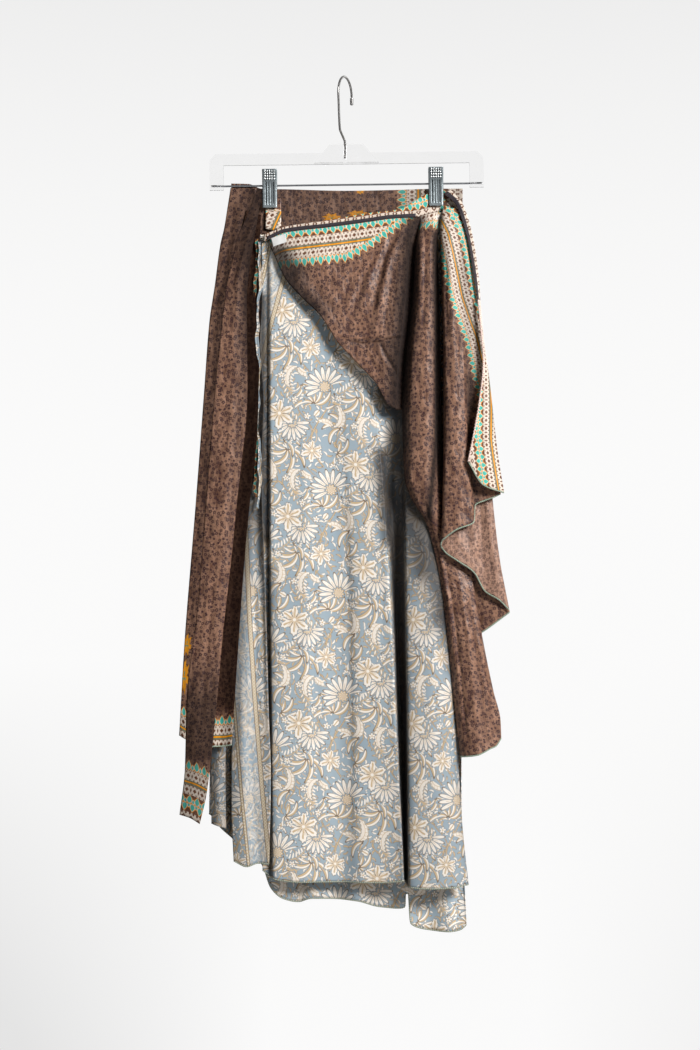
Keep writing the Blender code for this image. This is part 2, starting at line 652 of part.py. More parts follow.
def make_clips(frame):
    steel = material("clip_steel", (0.45, 0.5, 0.56), 0.3, 1.0)
    for name, across in CLIP_CENTRES.items():
        for face, side in (("front", 1), ("back", -1)):
            plate = flat_outline(f"clip_{name}_{face}", clip_profile(side), CLIP_WIDTH, steel, frame)
            plate.rotation_euler = (math.radians(90), 0, math.radians(-90))
            plate.location = ((across - HANGER_MIDDLE) * MM, 0, level(ROD_DROP) * MM)
            as_mesh(plate)
        bm = bmesh.new()
        bmesh.ops.create_cone(bm, cap_ends=True, segments=16, radius1=PIVOT_RADIUS * MM,
                              radius2=PIVOT_RADIUS * MM, depth=PIVOT_LENGTH * MM)
        pivot = add_object(f"clip_{name}_pivot", mesh_from(bm, f"clip_{name}_pivot"), steel, frame)
        pivot.rotation_euler = (0, math.radians(90), 0)
        pivot.location = ((across - HANGER_MIDDLE) * MM, 0, level(ROD_DROP) * MM)
        hole = cutter(f"clip_{name}_bore", ROD_RADIUS + GAP, PIVOT_LENGTH * 2, (0, 0, 0),
                      (0, math.radians(90), 0), frame)
        hole.location = pivot.location
        cut = pivot.modifiers.new("rod_bore", "BOOLEAN")
        cut.operation = "DIFFERENCE"
        cut.object = hole


def make_hanger():
    frame = bpy.data.objects.new("hanger_frame", None)
    frame.location = (HANGER_MIDDLE * MM, 0, -HANGER_PIVOT_DROP * MM)
    frame.rotation_euler = (0, -HANGER_TILT, 0)
    SKIRT.objects.link(frame)
    make_hanger_body(frame)
    make_rod(frame)
    make_clips(frame)
    make_hook()


for old in list(bpy.data.objects):
    bpy.data.objects.remove(old)
SKIRT = bpy.data.collections.new("wrap_skirt_on_hanger")
CUTTERS = bpy.data.collections.new("cutters")
bpy.context.scene.collection.children.link(SKIRT)
bpy.context.scene.collection.children.link(CUTTERS)

make_hanger()
make_waistband()
make_bindings()
make_label()
make_ties()
make_outer_layer()
make_under_layer()
make_back()
bpy.context.view_layer.update()
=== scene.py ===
# %% [markdown]
# # A two-layer wrap skirt on a clear clip hanger
#
# The real skirt is a wide length of taupe-brown printed satin over a longer length of blue printed
# cloth, both sewn into one waistband. It hangs folded from two spring clips, so the brown layer is
# swept across the front and falls at the right in deep pleats. Everything here is built round the
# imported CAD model, which is loaded first and never moved. Each stretch of cloth takes the place of
# one CAD solid, and a reader can rebuild it step by step: shape, creases, print, stitching.

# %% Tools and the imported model
import math

import bmesh
import bpy
import numpy as np
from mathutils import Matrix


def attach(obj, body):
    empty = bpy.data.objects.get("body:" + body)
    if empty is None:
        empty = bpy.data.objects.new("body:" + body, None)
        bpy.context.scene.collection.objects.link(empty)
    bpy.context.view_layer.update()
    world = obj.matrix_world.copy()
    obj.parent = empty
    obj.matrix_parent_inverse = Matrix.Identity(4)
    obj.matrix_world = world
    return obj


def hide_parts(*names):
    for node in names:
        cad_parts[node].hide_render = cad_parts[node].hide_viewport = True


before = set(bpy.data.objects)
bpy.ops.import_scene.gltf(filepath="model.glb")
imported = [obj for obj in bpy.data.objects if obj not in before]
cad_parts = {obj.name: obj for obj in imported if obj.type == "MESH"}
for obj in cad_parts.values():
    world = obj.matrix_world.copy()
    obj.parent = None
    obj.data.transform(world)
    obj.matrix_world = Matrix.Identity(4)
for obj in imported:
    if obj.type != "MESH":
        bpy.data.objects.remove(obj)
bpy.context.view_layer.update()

MM = 0.001

# %% [markdown]
# ## The camera
#
# The skirt is seen level and square on from three and a half metres, with a long lens, so its sides
# stay upright. The camera is made first, because some checks look through it.

# %% Camera
CAMERA_PLACE = (0.0065, -3.5, -0.581)
CAMERA_LENS = 92.3

scene = bpy.context.scene
camera = bpy.data.objects.new("camera", bpy.data.cameras.new("camera"))
camera.data.lens = CAMERA_LENS
camera.data.clip_end = 60
camera.location = CAMERA_PLACE
camera.rotation_euler = (math.radians(90), 0, 0)
scene.collection.objects.link(camera)
scene.camera = camera
print("camera looks level from", CAMERA_PLACE)

# %% [markdown]
# ## Shader maths as Python
#
# A material is a graph of small nodes, and a print such as this one needs hundreds of them. Adding
# them by hand hides the idea. So one small class wraps a node's output socket and overloads the
# arithmetic signs: writing `1 - mask * 0.5` then adds the Math nodes. Colours and vectors go through
# Mix and Vector Math instead, because a Math node would turn a colour grey. Every other node comes
# from one method, which sets the node's own settings first and its sockets second.

# %% Ink: a socket that does arithmetic
def feed(socket, value):
    """Link a socket to an ink, or give it a plain value."""
    if isinstance(value, Ink):
        socket.id_data.links.new(value.socket, socket)
    elif socket.type == "RGBA" and len(value) == 3:
        socket.default_value = (*value, 1)
    else:
        socket.default_value = value


class Ink:
    """One output socket. Arithmetic on it adds Math nodes to its own tree."""

    def __init__(self, socket):
        self.socket = socket

    def out(self, name):
        return Ink(self.socket.node.outputs[name])

    def maths(self, operation, *values):
        node = self.socket.id_data.nodes.new("ShaderNodeMath")
        node.operation = operation
        for socket, value in zip(node.inputs, values):
            feed(socket, value)
        return Ink(node.outputs[0])

    def __add__(self, other):
        return self.maths("ADD", self, other)

    def __radd__(self, other):
        return self.maths("ADD", other, self)

    def __sub__(self, other):
        return self.maths("SUBTRACT", self, other)

    def __rsub__(self, other):
        return self.maths("SUBTRACT", other, self)

    def __mul__(self, other):
        return self.maths("MULTIPLY", self, other)

    def __rmul__(self, other):
        return self.maths("MULTIPLY", other, self)

    def __truediv__(self, other):
        return self.maths("DIVIDE", self, other)

    def __rtruediv__(self, other):
        return self.maths("DIVIDE", other, self)

    def __pow__(self, other):
        return self.maths("POWER", self, other)

    def __lt__(self, other):
        return self.maths("LESS_THAN", self, other)

    def __gt__(self, other):
        return self.maths("GREATER_THAN", self, other)

    def __abs__(self):
        return self.maths("ABSOLUTE", self)

    def do(self, operation, *others):
        """A Math operation that has no sign of its own, such as SINE, FRACT or MINIMUM."""
        return self.maths(operation, self, *others)

    def within(self, low, high):
        return self.do("MAXIMUM", low).do("MINIMUM", high)


print("signs that add Math nodes: + - * / ** < > and abs()")

# %% Recipe: a node tree that is being written
class Recipe:
    """A node tree that is being written: of a material, or of the world."""

    def __init__(self, tree):
        self.tree = tree

    def node(self, kind, settings=None, sockets=None):
        """Any node: its type, its own settings, then the values or links of its sockets."""
        made = self.tree.nodes.new("ShaderNode" + kind)
        for name, value in (settings or {}).items():
            setattr(made, name, value)
        for name, value in (sockets or {}).items():
            feed(made.inputs[name], value)
        return Ink(made.outputs[0])

    def mix(self, under, over, mask):
        """Colour `over` laid on colour `under` where the mask is 1."""
        made = self.node("Mix", {"data_type": "RGBA"}, {0: mask, 6: under, 7: over})
        return Ink(made.socket.node.outputs[2])

    def vector(self, x, y):
        return self.node("CombineXYZ", None, {0: x, 1: y})

    def split(self, vector):
        parts = self.node("SeparateXYZ", None, {0: vector})
        return parts, parts.out("Y"), parts.out("Z")

    def uv(self, layer):
        """The two cloth coordinates of a layer, in millimetres."""
        across, along, _ = self.split(self.node("UVMap", {"uv_map": layer}))
        return across * 1000, along * 1000

    def noise(self, vector, scale, detail=2.0, roughness=0.5):
        return self.node("TexNoise", None, {"Vector": vector, "Scale": scale, "Detail": detail,
                                            "Roughness": roughness})

    def bump(self, height, strength, distance, normal=None):
        sockets = {"Height": height, "Strength": strength, "Distance": distance}
        if normal is not None:
            sockets["Normal"] = normal
        return self.node("Bump", None, sockets)


def srgb(red, green, blue):
    """A colour given as 0-255 screen values, in the linear light that shaders use."""
    def linear(value):
        value /= 255
        return value / 12.92 if value <= 0.04045 else ((value + 0.055) / 1.055) ** 2.4
    return linear(red), linear(green), linear(blue)


def new_material(name, roughness, **uniform):
    """A material with one Principled shader, whose sockets that never vary are set directly."""
    made = bpy.data.materials.new(name)
    made.use_nodes = True
    shader = made.node_tree.nodes["Principled BSDF"]
    shader.inputs["Roughness"].default_value = roughness
    for socket, value in uniform.items():
        feed(shader.inputs[socket.replace("_", " ")], value)
    return made, Recipe(made.node_tree), shader


print("a mid grey of 128 is", round(srgb(128, 128, 128)[0], 3), "in linear light")

# %% [markdown]
# ## Stage and light
#
# The skirt hangs in front of a white backdrop. One strong light comes from the upper right, weak ones
# come from the left and from low in front, and two from behind edge the hanger, so folds fall quickly
# into deep shade. The backdrop is the world: rays that reach the camera, also through clear plastic,
# see near-white, while cloth is lit by a world that is bright behind it and dim in front.

# %% World, floor and lights
# The backdrop's brightness holds painted shade: it darkens higher up and in the lower corners.
BACKDROP_WHITE = 0.962       # level with the skirt; it darkens higher up and in the lower corners
BACKDROP_DARKEST = 0.78
LIGHT_BEHIND = 0.5
LIGHT_IN_FRONT = 0.02

scene.view_settings.view_transform = "Standard"
world = bpy.data.worlds.new("white_backdrop")
world.use_nodes = True
scene.world = world
sky = Recipe(world.node_tree)
direction = sky.node("TexCoord")
east, north, up = sky.split(direction)
above = up.do("MAXIMUM", 0.0)
below = (0 - up - 0.05).do("MAXIMUM", 0.0)
# painted shade: the lower left corner darkens faster than the lower right one
corners = (0 - east - 0.03).do("MAXIMUM", 0.0) * 15 + (east - 0.07).do("MAXIMUM", 0.0) * 8
seen = (BACKDROP_WHITE - above * above * 2.9 - below * corners).do("MAXIMUM", BACKDROP_DARKEST)
behind = (north * 1.1 - 0.05).within(0.0, 1.0)
rays = sky.node("LightPath")
looks_clear = (rays + rays.out("Is Transmission Ray")).do("MINIMUM", 1.0)
lighting = behind * LIGHT_BEHIND + LIGHT_IN_FRONT
strength = seen * looks_clear + lighting * (1 - looks_clear)
background = world.node_tree.nodes["Background"]
feed(background.inputs["Strength"], strength)
background.inputs["Color"].default_value = (1.0, 0.998, 0.996, 1)

FLOOR_DROP = 1.75
FLOOR_REACH = 2.3
floor_material, floor_recipe, floor_shader = new_material("pale_floor", 0.9)
feed(floor_shader.inputs["Base Color"], srgb(243, 242, 241))
ground = bpy.data.meshes.new("floor")
disc = bmesh.new()
bmesh.ops.create_circle(disc, cap_ends=True, segments=96, radius=FLOOR_REACH)
disc.to_mesh(ground)
disc.free()
floor = bpy.data.objects.new("floor", ground)
floor.location.z = -FLOOR_DROP
floor.visible_diffuse = False        # it is seen, but throws no light up into the folds
scene.collection.objects.link(floor)
position = floor_recipe.node("NewGeometry")
floor_x, floor_y, _ = floor_recipe.split(position)
reach = (floor_x * floor_x + floor_y * floor_y).do("SQRT")
fade = (FLOOR_REACH - reach).within(0.0, 1.0)
feed(floor_shader.inputs["Alpha"], fade)
ground.materials.append(floor_material)

# Columns: name, place, aim, width and height in metres, watts.
SOFT_LIGHTS = (
    ("key_right", (2.2, -2.3, 1.2), (0, 0, -0.5), 1.0, 1.0, 192),
    ("fill_left", (-2.2, -2.0, 0.2), (0, 0, -0.5), 0.9, 1.6, 9),
    ("front_low", (0.7, -1.3, -1.7), (0, 0, -1.14), 0.9, 0.3, 9),
    ("behind_left", (-1.6, 2.2, 0.4), (0, 0, -0.5), 1.2, 1.6, 14),
    ("behind_right", (1.8, 2.0, 0.2), (0, 0, -0.5), 1.2, 1.6, 14),
)


def add_light(name, place, aim, width, height, watts):
    lamp = bpy.data.lights.new(name, "AREA")
    lamp.shape = "RECTANGLE"
    lamp.size = width
    lamp.size_y = height
    lamp.energy = watts
    light = bpy.data.objects.new(name, lamp)
    light.location = place
    towards = np.array(aim) - np.array(place)
    light.rotation_euler = (
        math.atan2(math.hypot(towards[0], towards[1]), -towards[2]),
        0,
        math.atan2(-towards[0], towards[1]),
    )
    scene.collection.objects.link(light)


for row in SOFT_LIGHTS:
    add_light(*row)
print("lights:", [row[0] for row in SOFT_LIGHTS])

# %% [markdown]
# ## The folds
#
# All the lengths below are millimetres from the point where the hook hangs. A fold is a chain of
# points: drop below that point, distance across, distance out towards the front. The first point is
# on the stretch's top edge and the last one on its hem or free edge. The skirt's own edges and folds
# set these numbers, the same ones that the CAD solids stand on, so each cloth lies in its solid.

# %% Folds of the waistband and the ties
# The front waistband droops from the left clip and rises into the right one.
# Columns: across, drop of its top edge, drop of its lower edge, out.
FRONT_BAND = (
    (-105, 204, 213, 5.0),
    (-77, 194, 201, 4.8),
    (-20, 185, 194, 4.2),
    (32, 176, 187, 3.6),
    (60, 173, 183, 3.2),
    (77, 169, 182, 2.8),
    (92, 159, 181, 2.2),
    (107, 151, 177, 1.5),
    (120, 147, 174, 1.0),
    (127, 147, 163, 1.0),
)

BAND_FALL = (
    ((150, 128, 1), (165, 144, 4), (183, 151, 8), (212, 159, 12), (263, 167, 18), (291, 172, 21)),
    ((148, 133, 1), (160, 146, 4), (183, 155, 8), (212, 162, 12), (263, 170, 18), (292, 173, 21)),
    ((146, 137, 1), (166, 153, 5), (203, 164, 11), (239, 170, 15), (278, 174, 19), (294, 174.5, 21)),
)

# A tab of the inner end, tucked into the left clip behind the drooping band.
TAB = (
    ((156, -103, 0.6), (196, -103, 2.4)),
    ((156, -94, 0.6), (198, -94, 2.4)),
    ((157, -83, 0.6), (194, -83, 2.2)),
)

LABEL = (
    ((209, -96, 8.0), (220, -93, 8.4)),
    ((203, -77, 8.0), (214, -76, 8.4)),
)

# Columns: across, drop of the back band's top edge, which sags between the clips.
BACK_BAND_TOP = (
    (-148, 137),
    (-126, 137.5),
    (-107, 144.2),
    (-89, 144.3),
    (0, 146.5),
    (60, 145.5),
    (118, 143.8),
    (153, 143.6),
)

TIE_BACK = (
    ((143, -148.8, -0.6), (170, -153, 0.5), (195, -157, 1.2), (217, -162, 1.8), (269, -169, 2.8),
     (316, -176, 3.5), (410, -183, 5), (558, -194, 7), (731, -208, 8), (854, -215, 8)),
    ((143, -131, -0.4), (170, -134, 0.8), (195, -139, 1.8), (217, -142, 3), (269, -151, 5),
     (410, -165, 8), (558, -177, 10), (731, -194, 11), (859, -204, 11)),
    ((144, -117, -0.4), (170, -117, 0.4), (195, -121, 0.8), (217, -125, 1.4), (269, -133, 2.5),
     (410, -147, 5), (558, -160, 7), (731, -178, 8), (858, -188, 8)),
)

TIE_FRONT = (
    ((144, -114, 2.6), (182, -128, 7.5), (211, -140, 11.5), (238, -146, 14), (278, -154, 18),
     (329, -160, 21), (386, -166, 24), (558, -180, 29), (679, -189, 32), (809, -204, 34),
     (894, -206, 34), (954, -213, 34)),
    ((144, -107.5, 2.6), (167, -115, 3.6), (184, -120, 8), (211, -129, 12.5), (289, -142, 21),
     (419, -150, 28), (558, -160, 32), (718, -176, 35.5), (894, -191, 36), (958, -200, 35)),
    ((146, -101, 2.6), (172, -112, 2.8), (187, -114, 7.5), (211, -118, 11.5), (250, -124, 15),
     (289, -127, 18), (406, -126, 24), (558, -140, 29), (630, -147, 31), (718, -157, 33),
     (809, -165, 34), (896, -174, 34), (932, -179, 34), (966, -187, 34)),
)

print("folds of the ties:", len(TIE_BACK), "and", len(TIE_FRONT))

# %% Folds of the brown layer's left side and the blue layer
OUTER_LEFT = (
    ((172, -128, 2.6), (211, -136, 6), (289, -147, 11), (419, -157, 16), (558, -168, 20),
     (718, -181, 23), (864, -185, 24)),
    ((174, -122, 2.4), (211, -127, 7), (289, -133, 14), (419, -139, 19), (558, -152, 23),
     (718, -168, 26), (866, -172, 27)),
    ((176, -116, 1.8), (211, -120, 5), (289, -121, 10), (419, -125, 15), (558, -135, 19),
     (718, -150, 22), (866, -159, 23)),
    ((178, -109, 1.6), (211, -110, 5), (328, -110, 12), (419, -112, 16), (458, -113, 17),
     (510, -118, 19), (562, -124, 20), (616, -129, 22), (698, -135, 23), (864, -146, 26)),
)

UNDER_LEFT = (
    ((211, -120, 1.8), (419, -129, 7), (558, -136, 10), (718, -142, 13), (818, -146, 15),
     (944, -147, 17), (1015, -144, 18)),
    ((211, -116, 2), (419, -121, 9), (611, -125, 13), (718, -126, 16), (818, -129, 19),
     (944, -133, 21), (1022, -127, 22)),
    ((211, -112, 1.8), (419, -113, 7), (611, -114, 10), (818, -113, 14), (1018, -112, 17)),
    ((211, -108, 3), (289, -107, 7), (341, -110, 8), (419, -105, 11), (510, -108, 13),
     (614, -105, 15), (705, -102, 16), (818, -99, 17), (902, -96, 18), (1019, -98, 19)),
)

UNDER_FRONT = (
    ((214, -112, 0.2), (419, -112, 3), (614, -110, 5), (809, -108, 6), (1028, -107, 8)),
    ((214, -103, 0.3), (419, -101, 2.5), (614, -100, 4), (809, -98, 5), (1035, -98, 8)),
    ((213, -95, 4), (419, -95, 9), (614, -95, 12), (809, -94, 14), (1039, -91, 16)),
    ((208, -78, 4.3), (419, -72, 9), (679, -64, 13), (1043, -58, 16)),
    ((203, -58, 4.2), (419, -46, 8), (679, -35, 11), (1043, -32, 13)),
    ((198, -35, 4), (419, -22, 6), (679, -6, 8), (1043, -4, 9.5)),
    ((194, -10, 3.8), (419, 0, 8), (679, 18, 15), (1043, 22, 18)),
    ((190, 20, 3.4), (419, 22, 9), (679, 38, 17), (1043, 47, 20.5)),
    ((185, 52, 2.6), (419, 40, 8), (549, 50, 15.5), (705, 58, 20), (874, 66, 23), (1040, 75, 25)),
    ((184, 56, 2.2), (419, 46, 5), (549, 53, 9), (705, 61, 11), (874, 69, 13), (1041, 76.5, 14)),
    ((183, 62, 1.5), (419, 56, 2), (549, 61, -1), (705, 67, -3), (874, 72.5, -2), (1043, 78, 0.5)),
    ((182.5, 70, 1.6), (419, 68, 3), (549, 74, 4), (705, 77, 6), (874, 80, 8), (1047, 81, 10)),
    ((182, 74, 1.8), (419, 74, 6), (549, 79, 14), (705, 81, 22), (885, 83, 26), (1048, 84, 26)),
    ((181, 95, 1.4), (419, 91, 7), (705, 105, 24), (885, 110, 29), (1050, 110, 29)),
    ((178, 113, 0.8), (419, 108, 6), (705, 129, 17), (885, 135, 22), (1049, 137, 25)),
    ((174, 131, 0.3), (419, 124, 4), (601, 136, 8), (783, 142, 11), (958, 151, 14), (1046, 160, 15)),
)

print("folds of the blue front:", len(UNDER_FRONT))

# %% Folds of the brown sweep, the pleat and the cascade
OUTER_SWEEP = (
    ((215, -98, 5.6), (221, -95, 8)),
    ((205, -79, 5.4), (260, -77, 13)),
    ((203, -58, 5.2), (243, -56, 11), (285, -55, 16)),
    ((200, -35, 5), (256, -32, 14), (309, -31, 18)),
    ((198, -10, 4.8), (263, -9, 15), (343, -9, 21)),
    ((194, 14, 4.6), (263, 16, 17), (370, 16, 23)),
    ((190, 39, 4.4), (263, 38, 19), (341, 38, 24), (396, 40, 24)),
    ((186, 64, 4), (237, 60, 18), (315, 55, 25), (380, 53, 26), (424, 56, 25)),
    ((183, 84, 3.6), (224, 81, 17), (286, 77, 24), (389, 67, 26), (429, 65, 23)),
    ((182, 92, 3.2), (224, 84, 10), (286, 79.5, 15), (389, 69, 18), (430, 68, 18)),
    ((182, 99, 2.6), (224, 93, 5), (286, 90, 7), (389, 79, 9.5), (430, 78, 11)),
)

OUTER_PLEAT = (
    ((182, 98, 3), (224, 91, 6.5), (286, 86, 9.5), (389, 75, 12.5), (430, 74, 16), (520, 77, 20),
     (547, 86, 20), (576, 104, 20), (627, 118, 19), (679, 127, 18), (796, 140, 18), (880, 149, 18)),
    ((181, 100, 3.4), (224, 96, 20), (286, 95, 28), (389, 87, 32), (471, 86, 33), (520, 86, 34),
     (549, 94, 30), (588, 113, 23), (627, 126, 22), (679, 136, 24), (783, 148, 26), (879, 158, 26)),
    ((179, 109, 3.4), (224, 107, 24), (286, 107, 32), (389, 104, 36), (523, 103, 37),
     (588, 120, 25), (627, 135, 22), (679, 150, 25), (783, 161, 29), (877, 171, 30)),
    ((178, 116, 3.4), (224, 116, 22), (286, 116, 28), (471, 116, 30), (549, 118, 27),
     (601, 129, 22), (641, 147, 21.5), (679, 162, 22), (796, 180, 26), (869, 188, 26)),
    ((178, 117, 3.2), (224, 115, 13), (286, 115.5, 17), (389, 116, 20), (471, 118, 22), (549, 124, 21),
     (601, 138, 19.5), (641, 154, 19), (679, 168, 19.5), (796, 186, 23), (866, 195, 23)),
    ((177, 120, 3), (224, 120, 6), (286, 122, 9), (389, 124, 12), (471, 126, 15), (549, 133, 16),
     (601, 147, 16.5), (641, 162, 17), (719, 176, 19), (796, 192, 20), (833, 201, 20), (856, 202, 20)),
)

OUTER_FALL = (
    ((166, 128.5, 3), (198, 124, 8), (263, 125, 14), (341, 127, 18), (419, 127, 20), (549, 127, 22),
     (607, 123.6, 30)),
    ((166.5, 130, 3.2), (198, 125, 11), (263, 125.5, 19), (341, 127.5, 23), (419, 128, 26),
     (549, 126, 30), (601.5, 124.6, 33)),
    ((167, 132, 3.4), (198, 128, 14), (263, 128, 24), (341, 129, 28), (419, 131, 32),
     (523, 129, 35), (597, 129, 36)),
    ((169, 137, 3.6), (198, 135, 15), (263, 135, 28), (419, 142, 35), (523, 143, 38), (586, 144, 38)),
    ((170, 142, 3.6), (211, 144, 15), (263, 146, 24), (341, 150, 28), (419, 153, 33),
     (523, 159, 34), (576, 166, 34)),
    ((173, 148, 4), (198, 151, 9), (263, 155, 17), (341, 159, 22), (419, 159, 24), (555, 168, 26)),
    ((190, 154, 6.5), (225, 158, 12), (263, 161.5, 16), (341, 167, 21), (419, 171, 24), (549, 180, 26)),
    ((216, 161, 10), (262, 165, 15), (300, 168.5, 18), (341, 172, 20), (419, 179, 23), (480, 186, 25),
     (545, 191, 27)),
    ((255, 167.5, 14.5), (291, 172, 18), (312, 174, 18.5), (341, 177, 19), (393, 184, 21), (438, 189, 23),
     (490, 194, 25), (540, 201, 27)),
)

OUTER_FLAP = (
    ((290, 172.5, 25), (328, 176, 28), (370, 179, 32), (420, 174, 36), (460, 167, 40), (500, 159, 42)),
    ((291, 173.5, 25), (341, 178, 28), (393, 182, 33), (460, 180, 38), (529, 178, 40)),
    ((292, 174.5, 24), (341, 179, 25), (393, 186, 28), (438, 191, 29), (490, 197, 31), (539, 205, 32)),
)

OUTER_RETURN = (
    ((187, 133, 2.4), (289, 131, 10), (419, 133, 16), (523, 129, 20), (608, 124, 27)),
    ((187, 134.5, 2.4), (289, 135, 11), (419, 137.5, 17.5), (523, 135, 22.5), (616, 130, 29)),
    ((187, 136, 2.4), (289, 139, 12), (419, 143, 19), (523, 143, 25), (627, 146, 30)),
    ((187, 142, 2.4), (289, 150, 11), (419, 157, 16), (523, 162, 20), (641, 166, 26)),
    ((190, 146, 2.4), (289, 156, 9), (419, 169, 14), (523, 176, 18), (666, 181, 22)),
    ((192, 148, 2.4), (289, 161, 8), (419, 176, 13), (523, 184, 18), (677, 199, 24)),
    ((195, 151, 2.4), (289, 165, 8), (419, 182, 13), (497, 187, 16), (549, 191, 18),
     (604, 197, 20), (650, 204, 21), (690, 212, 22)),
)

OUTER_TAIL = (
    ((458, 139, 9), (601, 157, 11), (723, 172, 13)),
    ((458, 162, 10), (601, 178, 13), (714, 185, 17)),
    ((458, 181, 10), (549, 187, 13), (604, 196, 15), (693, 213, 19)),
)

print("folds of the sweep and the pleat:", len(OUTER_SWEEP), "and", len(OUTER_PLEAT))

# %% Folds of the back
# The back layers hang from the back waistband between two edges: (drop, across).
OUTER_BACK_EDGES = (
    ((205, -147), (289, -166), (419, -178), (627, -194), (852, -204)),
    ((205, 152), (289, 162), (419, 173), (679, 174), (854, 192)),
)
UNDER_BACK_EDGES = (
    ((205, -144), (419, -166), (809, -174), (957, -176)),
    ((205, 150), (419, 160), (679, 158), (880, 148), (958, 152), (1106, 158)),
)
# The two sides turn round to the front, where they end behind the ties and the cascade.
# Columns: share of the width, turn to the front, how far the fold stands off, hem of each layer.
BACK_FOLDS = (
    (0.000, 1.0, 0.0, 851, 956),
    (0.002, 0.5, 0.0, 851, 957),
    (0.008, 0.1, 0.0, 852, 959),
    (0.040, 0.0, 0.5, 853, 974),
    (0.080, 0.0, -0.6, 855, 985),
    (0.150, 0.0, 1.0, 860, 1008),
    (0.205, 0.0, 0.1, 864, 1022),
    (0.240, 0.0, -0.9, 866, 1052),
    (0.285, 0.0, -0.3, 869, 1066),
    (0.345, 0.0, 0.8, 873, 1071),
    (0.400, 0.0, -0.7, 876, 1066),
    (0.500, 0.0, 0.7, 878, 1067),
    (0.575, 0.0, -1.0, 878, 1069),
    (0.660, 0.0, 0.4, 875, 1077),
    (0.735, 0.0, -0.2, 870, 1079),
    (0.762, 0.0, -0.3, 868, 1077),
    (0.767, 0.0, -0.3, 868, 1060),
    (0.778, 0.0, -0.3, 867, 1060),
    (0.784, 0.0, -0.2, 867, 1098),
    (0.850, 0.0, 0.9, 861, 1107),
    (0.930, 0.0, -0.8, 856, 1109),
    (0.975, 0.0, 0.0, 855, 1107),
    (0.992, 0.1, 0.0, 854, 1103),
    (0.998, 0.5, 0.0, 854, 1101),
    (1.000, 1.0, 0.0, 854, 1100),
)
# Columns: drop, out of the outer layer, out of the under layer, depth of their folds, and how far
# out the turned sides of each layer reach.
BACK_FORM = (
    (203, -2.9, -1.4, 0.1, -1.6, -0.8),
    (260, -7, -2.6, 1.4, 0, -0.4),
    (340, -14, -5, 3.2, 1.5, 0.5),
    (480, -23, -9, 5.5, 3.5, 2),
    (640, -31, -14, 7.5, 5, 3),
    (860, -38, -12, 9.0, 6, 4.5),
    (960, -40, -9, 8.0, 6, -3),
    (1110, -42, -1, 6.0, 6, -1),
)
UNDER_FOLLOWS = 0.6          # the under layer's folds are this much of the outer layer's
WAIST_BACK_OUT = -2.75       # the back waistband's middle, just behind the rod
WAIST_SEAM_DROP = 203        # its lower edge
RIBBON_DEPTH = 4.6
RIBBON_LEFT = -101
RIBBON_RIGHT = 92
GAP = 0.3                    # clearance at seams
print("folds of each back layer:", len(BACK_FOLDS))

# %% [markdown]
# ## How a stretch of cloth is shaped
#
# Hanging cloth is easiest to describe by its folds. Each row of a table above is one fold, a chain of
# points down the cloth, and a smooth curve is drawn down every fold and then across all of them. That
# gives a fine grid of points. A simulation could drape the cloth instead, but these folds are set by
# where the clips pinch it, so they are placed one by one. Creases come next: each one is a line drawn on
# the cloth, along which the grid is lifted or sunk, with its own length, width and depth.

# %% Smooth curves and lofts
def smooth(knots, values, places):
    """Values at the places, on a smooth curve through the knots that never overshoots them."""
    knots = np.asarray(knots, float)
    values = np.asarray(values, float)
    places = np.asarray(places, float)
    column = (-1,) + (1,) * (values.ndim - 1)
    step = np.diff(knots)
    slope = np.diff(values, axis=0) / step.reshape(column)
    tangent = np.zeros_like(values)
    tangent[0] = slope[0]
    tangent[-1] = slope[-1]
    before, after = slope[:-1], slope[1:]
    agree = before * after > 0
    total = np.where(agree, before + after, 1)
    tangent[1:-1] = np.where(agree, 2 * before * after / total, 0)
    at = np.clip(np.searchsorted(knots, places) - 1, 0, len(step) - 1)
    t = ((places - knots[at]) / step[at]).reshape(column)
    h = step[at].reshape(column)
    start = (1 + 2 * t) * (1 - t) ** 2 * values[at] + t * (1 - t) ** 2 * h * tangent[at]
    end = t * t * (3 - 2 * t) * values[at + 1] + t * t * (t - 1) * h * tangent[at + 1]
    return start + end


def loft(folds, rows, per_fold):
    """A grid of points (across, out, drop): rows down the cloth, per_fold steps between folds."""
    shares = np.linspace(0, 1, rows + 1)
    chains = []
    for fold in folds:
        drop, across, out = np.array(fold, float).T
        at = drop[0] + (drop[-1] - drop[0]) * shares
        chains.append(np.column_stack((smooth(drop, across, at), smooth(drop, out, at), at)))
    count = len(folds) - 1
    places = np.linspace(0, count, count * per_fold + 1)
    return smooth(np.arange(count + 1), np.array(chains), places).transpose(1, 0, 2)


def lifted(grid, distance):
    """The grid moved along its own normal, towards the front where the distance is positive."""
    normal = np.cross(np.gradient(grid, axis=0), np.gradient(grid, axis=1))
    length = np.linalg.norm(normal, axis=-1, keepdims=True)
    return grid + np.asarray(distance)[..., None] * normal / np.maximum(length, 1e-9)


print("the near tie's grid has", len(TIE_FRONT) - 1, "gaps between folds and",
      loft(TIE_FRONT, 300, 9).shape[:2], "points")

# %% Creases, ripples and turned edges
FAR = 1e9


def along_line(grid, line):
    """Where each point lies by a line of (across, drop) points, and the line's own length.

    For every point: its distance from the line, how far along the line that is, and its side, 1 or -1.
    """
    flat = grid[..., ::2]
    line = np.array(line, float)
    nearest = np.full(flat.shape[:2], FAR)
    along = np.zeros(flat.shape[:2])
    side = np.zeros(flat.shape[:2])
    walked = 0.0
    for start, end in zip(line[:-1], line[1:]):
        run = end - start
        length = np.linalg.norm(run)
        t = np.clip(((flat - start) @ run) / length ** 2, 0, 1)
        away = flat - start - t[..., None] * run
        gap = np.linalg.norm(away, axis=-1)
        closer = gap < nearest
        nearest = np.where(closer, gap, nearest)
        along = np.where(closer, walked + t * length, along)
        side = np.where(closer, np.sign(run[0] * away[..., 1] - run[1] * away[..., 0]), side)
        walked += length
    return nearest, along, side, walked


